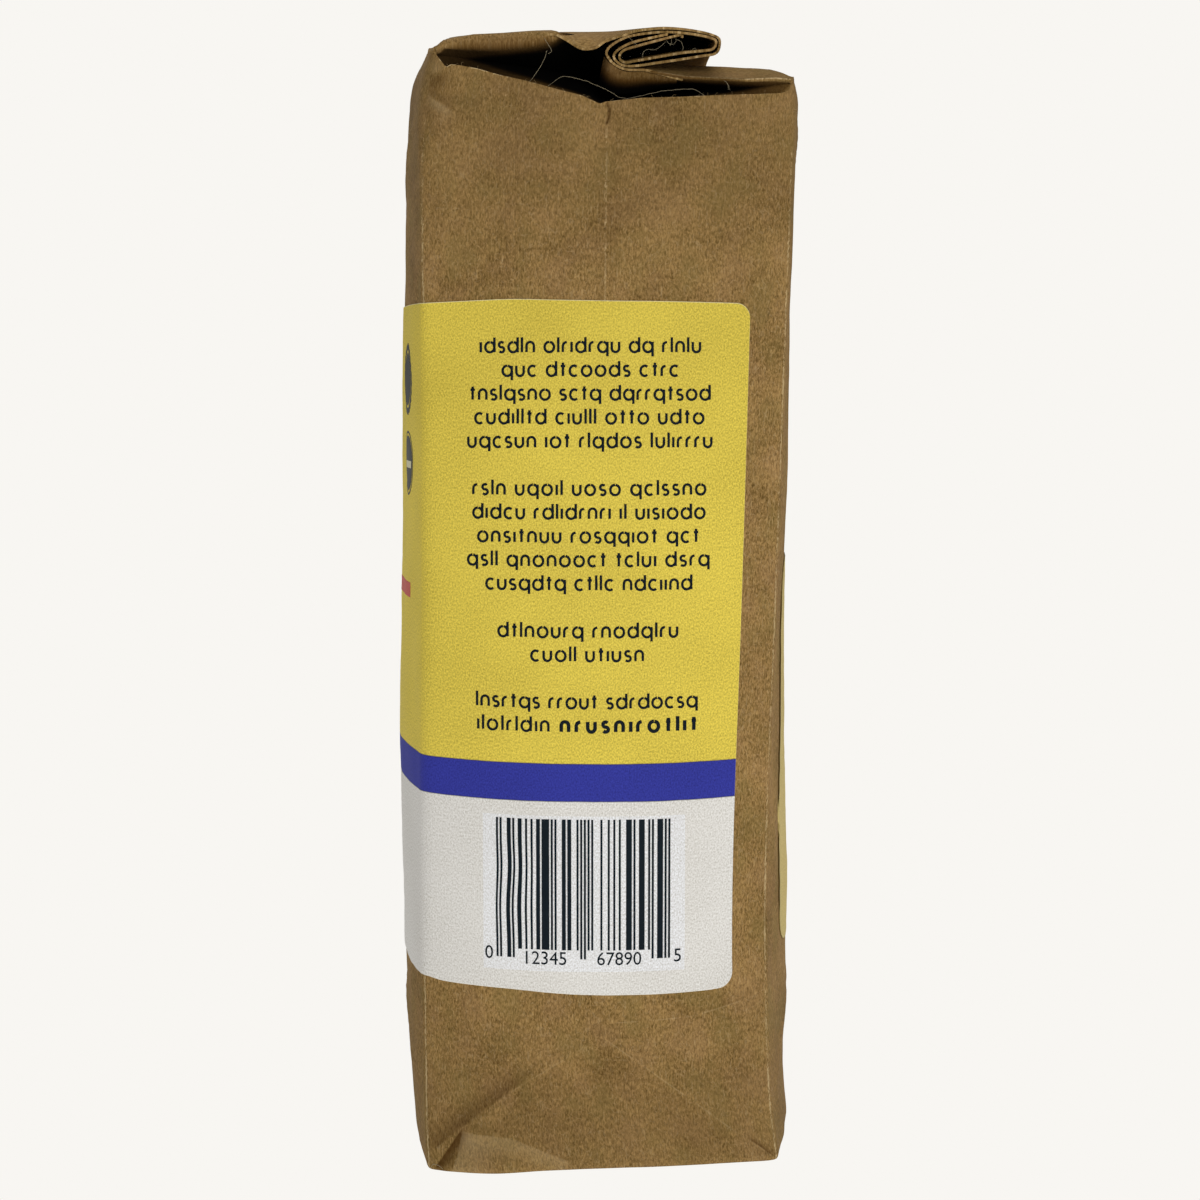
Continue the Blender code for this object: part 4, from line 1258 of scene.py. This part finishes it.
def markLine(line, left, right, dice, scale, spacing, run=0):
    # a line of marks in runs, spread to fill the line's length exactly
    chosen, x, run = [], 0.0, run or dice.randint(3, 8)
    wanted = (right - left) / scale
    while x < wanted - words["slack"]:
        mark = dice.choice(marks)
        chosen.append((x, mark))
        x += mark[0] + spacing
        run -= 1
        if run == 0 and x < wanted - words["shortestRest"]:
            x += words["gap"] / scale
            run = dice.randint(2, 9)
    end = chosen[-1][0] + chosen[-1][1][0]
    stretch = wanted / end
    y = words["topLine"] - words["pitch"] * line
    paths = []
    for start, (_, strokes) in chosen:
        for stroke in strokes:
            paths.append([((left + (start * stretch + px) * scale) * mm, (y + py * scale) * mm, 0.0)
                          for px, py in stroke])
    return paths


def printWords(material):
    dice = random.Random(12)
    tree = strokeTree(material)
    scale = words["markHeight"]
    plain = [path for line in words["lines"] for path in markLine(*line, dice, scale, words["spacing"])]
    bold = markLine(*words["boldLine"], dice, scale, words["boldSpacing"], 99)
    pieces = [growPiece("printWords", *chain(plain), tree, stroke=words["stroke"] * mm),
              growPiece("printBoldWord", *chain(bold), tree, stroke=words["boldStroke"] * mm)]
    for piece in pieces:
        wrapOnLabel(piece.data)
    return pieces


def barRuns():
    # the bars of the counting number, as (start, width, is long) in modules
    left, right = barCode["digits"][:6], barCode["digits"][6:]
    codes = barCode["codes"]
    pattern = "101" + "".join(codes[int(d)] for d in left) + "01010"
    pattern += "".join(codes[int(d)].translate(str.maketrans("01", "10")) for d in right) + "101"
    runs, start = [], None
    for place, mark in enumerate(pattern + "0"):
        if mark == "1" and start is None:
            start = place
        elif mark == "0" and start is not None:
            middle = (start + place) / 2.0
            runs.append((start, place - start, middle < 10 or middle > 85 or 45 < middle < 50))
            start = None
    return runs


def printBarCode(material):
    points, widths, heights = [], [], []
    for start, width, isLong in barRuns():
        foot = barCode["long"] if isLong else barCode["short"]
        x = barCode["left"] + (start + width / 2.0) * barCode["module"]
        points.append((x * mm, (barCode["top"] + foot) / 2.0 * mm, 0.0))
        widths.append((width * barCode["module"] + 0.05) * mm)
        heights.append((barCode["top"] - foot) * mm)
    piece = growPiece("printBars", points, [], barTree(material),
                      (("barWidth", widths), ("barHeight", heights)), thickness=ink["thickness"] * mm)
    # the print bends a little where the paper is dented
    places = meshPoints(piece.data)
    x, y = places[:, 0] / mm, places[:, 1] / mm
    places[:, 0] += 0.17 * mm * bell(x + 16.5, 3.5) * (bell(y - 57.5, 3.5) - bell(y - 49.5, 4.0))
    movePoints(piece.data, places)
    wrapOnLabel(piece.data)
    return piece


def printDigits(material):
    digits = barCode["digits"]
    groups = (digits[0], digits[1:6], digits[6:11], digits[11])
    joined = bmesh.new()
    for figures, (x, y) in zip(groups, barCode["digitPlaces"]):
        curve = bpy.data.curves.new("digits", "FONT")
        curve.body, curve.align_x = figures, "CENTER"
        curve.size, curve.extrude = barCode["digitHeight"] / 0.73, ink["thickness"] / 2.0
        curve.resolution_u = 3
        holder = newObject("digits", curve)
        bpy.context.view_layer.update()
        mesh = bpy.data.meshes.new_from_object(holder.evaluated_get(bpy.context.evaluated_depsgraph_get()))
        bpy.data.objects.remove(holder)
        movePoints(mesh, (meshPoints(mesh) * (barCode["digitWidth"], 1.0, 1.0) + (x, y, 0.0)) * mm)
        joined.from_mesh(mesh)
        bpy.data.meshes.remove(mesh)
    bmesh.ops.remove_doubles(joined, verts=joined.verts, dist=0.000001)
    mesh = bpy.data.meshes.new("printDigits")
    joined.to_mesh(mesh)
    joined.free()
    mesh.materials.append(material)
    wrapOnLabel(mesh)
    return newObject("printDigits", mesh)


def addDisc(skin, centre, outline, inner=0.0, lift=0.0, rings=7):
    # a flat round mark: outline(angle) is its radius, inner the radius of a hole in it
    angle = np.linspace(0.0, math.tau, 121)
    part = np.linspace(0.0, 1.0, rings)[:, None]
    radius = inner + (outline(angle)[None, :] - inner) * part
    x = centre[0] + radius * np.cos(angle)
    y = centre[1] + radius * np.sin(angle)
    sheets = [np.stack([x, y, np.full_like(x, lift + side * ink["thickness"])], -1) for side in (0.5, -0.5)]
    for sheet, flip in zip(sheets, (True, False)):
        skin.grid(sheet, sheet[..., :2], flip=flip)
    skin.grid(np.stack([sheets[0][-1], sheets[1][-1]]), np.zeros((2, 121, 2)), flip=True)
    if inner > 0.0:
        skin.grid(np.stack([sheets[0][0], sheets[1][0]]), np.zeros((2, 121, 2)))


def addStripe(skin, left, foot, width, height, lift=0.0):
    t = np.linspace(0.0, 1.0, 24)
    sheet = np.stack(np.broadcast_arrays(left + width * t[None, :], foot + height * t[::6, None],
                                         np.full((1, 1), lift)), -1)
    skin.shell(sheet, sheet[..., :2], ink["thickness"])


# Plain seals and bars on the front panel, near its crease; a seal is (centre, ring radius, height of its
# teeth, hole in the ring, disc radius), a bar (left, foot, width, height).
badges = {
    "seals": (((-39.0, 146.2), 6.4, 0.45, 5.5, 5.0), ((-39.2, 130.3), 6.1, 0.0, 5.7, 5.2)),
    "band": (-43.6, 129.4, 8.8, 1.7),
    "bar": (-40.6, 104.7, 21.0, 3.6),
}


def printBadges():
    dark, pale, red = Skin(), Skin(), Skin()
    for centre, outer, teeth, hole, disc in badges["seals"]:
        addDisc(dark, centre, lambda a: outer + teeth * np.abs(np.sin(a * 12.0)), inner=hole, rings=3)
        addDisc(dark, centre, lambda a: disc + 0.0 * a)
    addStripe(pale, *badges["band"], 2.0 * ink["thickness"])
    addStripe(red, *badges["bar"])
    pieces = [dark.build("printSeals", inkMaterial("inkSlate", ink["badge"])),
              pale.build("printSealBand", inkMaterial("inkPale", ink["badgePale"])),
              red.build("printBar", inkMaterial("inkRed", ink["red"]))]
    for piece in pieces:
        wrapOnLabel(piece.data, "left")
    return pieces


# Loose threads and fuzz, as (across, height, depth from the crease) points at the near end.

threads = {
    "long": (((-9.6, 205.6, 0.3), (-10.4, 203.4, -0.4), (-11.9, 201.0, -0.5), (-13.1, 199.6, 0.1)),
             ((-9.6, 199.2, 0.6), (-6.8, 200.8, -0.2), (-3.1, 200.2, -0.6), (0.9, 198.6, -0.4),
              (4.2, 197.0, -0.5), (7.4, 197.4, -0.5), (11.1, 198.2, -0.4), (16.6, 198.6, -0.2),
              (19.2, 197.4, 0.3)),
             ((-10.1, 207.7, -0.5), (-9.3, 206.4, -0.7), (-8.8, 205.4, -0.4), (-9.4, 205.0, 0.2)),
             ((-31.3, 0.8, -9.4), (-31.0, 1.5, -9.9), (-30.2, 1.6, -10.2), (-29.3, 1.0, -10.3),
              (-29.0, 0.5, -9.8))),
    "short": (((22.1, 200.4, -0.2), (23.0, 199.8, -0.5), (23.7, 198.5, 0.1)),
              ((22.6, 200.5, -0.2), (23.2, 199.4, -0.4), (23.3, 198.6, 0.1)),
              ((7.7, 204.4, 0.2), (7.9, 205.2, -0.4), (8.5, 205.6, -0.4), (9.8, 205.7, -0.3),
               (10.8, 206.1, -0.4), (11.6, 206.8, -0.2), (11.9, 207.3, 0.3)),
              ((13.6, 207.6, 0.2), (14.7, 207.1, -0.4), (15.1, 205.9, -0.4), (14.7, 205.3, 0.3)),
              ((12.9, 207.8, 0.2), (12.9, 207.1, -0.3), (12.7, 206.4, 0.2)),
              ((12.0, 207.6, 0.2), (12.3, 206.9, -0.3), (13.2, 206.6, -0.3), (13.9, 207.3, 0.2)),
              ((5.2, 207.9, 0.1), (6.4, 206.7, -0.4), (6.9, 206.2, 0.2)),
              ((16.5, 205.5, 0.1), (17.2, 206.0, -0.3), (17.6, 205.4, 0.1))),
    "radius": 0.036, "shortRadius": 0.027, "waver": 0.35,
}


def threadPaths(paths):
    return [[(x * mm, -(bag["creaseDepth"] - depth) * mm, z * mm) for x, z, depth in path] for path in paths]


def growThreads(material):
    tree = strandTree(material)
    waver = threads["waver"] * mm
    return [growPiece("looseThreads", *chain(threadPaths(threads["long"])), tree,
                      radius=threads["radius"] * mm, waver=waver),
            growPiece("looseHairs", *chain(threadPaths(threads["short"])), tree,
                      radius=threads["shortRadius"] * mm, waver=waver)]


fuzz = {"spacing": 0.7, "length": 0.9, "radius": 0.018}


def growFuzz(material):
    # along both mouths' lips and down the near creases
    paths = []
    for side in ("near", "far"):
        s = np.linspace(0.05, 0.95, 60)
        paths.append(roundedPoint(side, s, lipHeight(side, s) - 0.1)[0] * mm)
    for side in sideNames:
        z = np.linspace(6.0, 196.0, 90)
        paths.append(roundedPoint(side, np.full_like(z, 0.0015), z)[0] * mm)
    return growPiece("paperFuzz", *chain(paths), fuzzTree(material), spacing=fuzz["spacing"] * mm,
                     length=fuzz["length"] * mm, radius=fuzz["radius"] * mm)


def threadMaterial(name, tint):
    material, tree = newMaterial(name)
    place = build(tree, "ShaderNodeTexCoord", {})[3]
    twist = noise(tree, place, 5200.0, 2.0)
    darker = tuple(c * 0.8 for c in tint)
    base = tinted(tree, twist.step(0.35, 0.7), tint, darker)
    finishShader(tree, base, 0.7, twist, 0.00001, specular=0.3, strength=0.3)
    return material


# Make the pieces.

brownPaper = brownPaperMaterial()
bagSkin = paperBagSkin()
addTongues(bagSkin)
paperBag = bagSkin.build("paperBag", brownPaper)
rollSkin = Skin()
addRoll(rollSkin)
rolledTop = rollSkin.build("rolledTop", brownPaper)
print("paper bag made")

labelFront = makeFrontLabel()
labelBack = makeBackLabel()
print("labels made")

darkInk = inkMaterial("inkDark", ink["dark"])
prints = [*printWords(darkInk), printBarCode(darkInk), printDigits(darkInk), *printBadges()]
print("print laid on the label")

fibres = [*growThreads(threadMaterial("paleThread", (158, 146, 118))),
          growFuzz(threadMaterial("paperFibre", (176, 150, 108)))]
print("threads and fuzz grown")


# Floor, backdrop, lights and camera.

studio = {"backdrop": (248, 246, 242), "floorSize": 6.0, "floorHeight": -0.0002,
          "air": (1.0, 0.985, 0.96, 1.0), "airStrength": 0.14}


def stagePiece(name, mesh):
    # a piece that shines with the backdrop's colour
    material, tree = newMaterial(name + "Glow")
    glow = build(tree, "ShaderNodeEmission", {}, colour(*studio["backdrop"]), 1.0)[0]
    build(tree, "ShaderNodeOutputMaterial", {}, glow)
    mesh.materials.append(material)
    piece = newObject(name, mesh)
    return piece


def makeStudio():
    mesh = bpy.data.meshes.new("floor")
    half, z = studio["floorSize"], studio["floorHeight"]
    mesh.from_pydata([(-half, -half, z), (half, -half, z), (half, half, z), (-half, half, z)], [],
                     [(0, 1, 2, 3)])
    stagePiece("floor", mesh)

    dome = bmesh.new()
    bmesh.ops.create_icosphere(dome, subdivisions=4, radius=studio["floorSize"] * 0.98)
    bmesh.ops.reverse_faces(dome, faces=dome.faces)
    mesh = bpy.data.meshes.new("backdrop")
    dome.to_mesh(mesh)
    dome.free()
    backdrop = stagePiece("backdrop", mesh)
    backdrop.visible_diffuse = backdrop.visible_glossy = backdrop.visible_shadow = False

    world = bpy.data.worlds.new("studioAir")
    bpy.context.scene.world = world
    world.use_nodes = True
    background = world.node_tree.nodes["Background"]
    background.inputs["Color"].default_value = studio["air"]
    background.inputs["Strength"].default_value = studio["airStrength"]


def areaLight(name, place, aim, size, power, tint=(1.0, 1.0, 1.0)):
    light = bpy.data.lights.new(name, "AREA")
    light.shape, light.size = "DISK", size
    light.energy, light.color = power, tint
    lamp = newObject(name, light)
    lamp.location = place
    direction = np.array(aim) - np.array(place)
    yaw = math.atan2(direction[1], direction[0]) - math.pi / 2
    pitch = math.atan2(direction[2], math.hypot(direction[0], direction[1])) + math.pi / 2
    lamp.rotation_euler = (pitch, 0.0, yaw)
    lamp.visible_camera = False


makeStudio()
areaLight("keyLight", (0.29, -1.62, 0.60), (0.0, 0.0, 0.1), 0.8, 12.6, (1.0, 0.985, 0.96))
areaLight("topLight", (0.1, 0.2, 1.6), (0.0, 0.0, 0.1), 1.2, 10.5)
areaLight("sideLight", (1.6, 0.25, 0.5), (0.0, 0.0, 0.1), 0.8, 3.0)
areaLight("backLight", (-0.9, 1.5, 0.9), (0.0, 0.0, 0.1), 1.0, 6.0)

view = {"place": (0.0, -0.504, 0.146), "tiltDown": 5.152, "lens": 73.2}
camera = bpy.data.cameras.new("camera")
camera.lens, camera.sensor_width = view["lens"], 36.0
cameraObject = newObject("camera", camera)
cameraObject.location = view["place"]
cameraObject.rotation_euler = (math.radians(90.0 - view["tiltDown"]), 0.0, 0.0)
bpy.context.scene.camera = cameraObject
bpy.context.scene.view_settings.view_transform = "Standard"
print("studio made")


# Tie the pieces to the model.

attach(paperBag, "root")
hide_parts("bag")
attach(rolledTop, "root")
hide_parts("bag")
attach(labelFront, "root")
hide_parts("label_front")
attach(labelBack, "root")
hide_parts("label_back")
for piece in prints:
    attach(piece, "root")
for piece in fibres:
    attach(piece, "root")
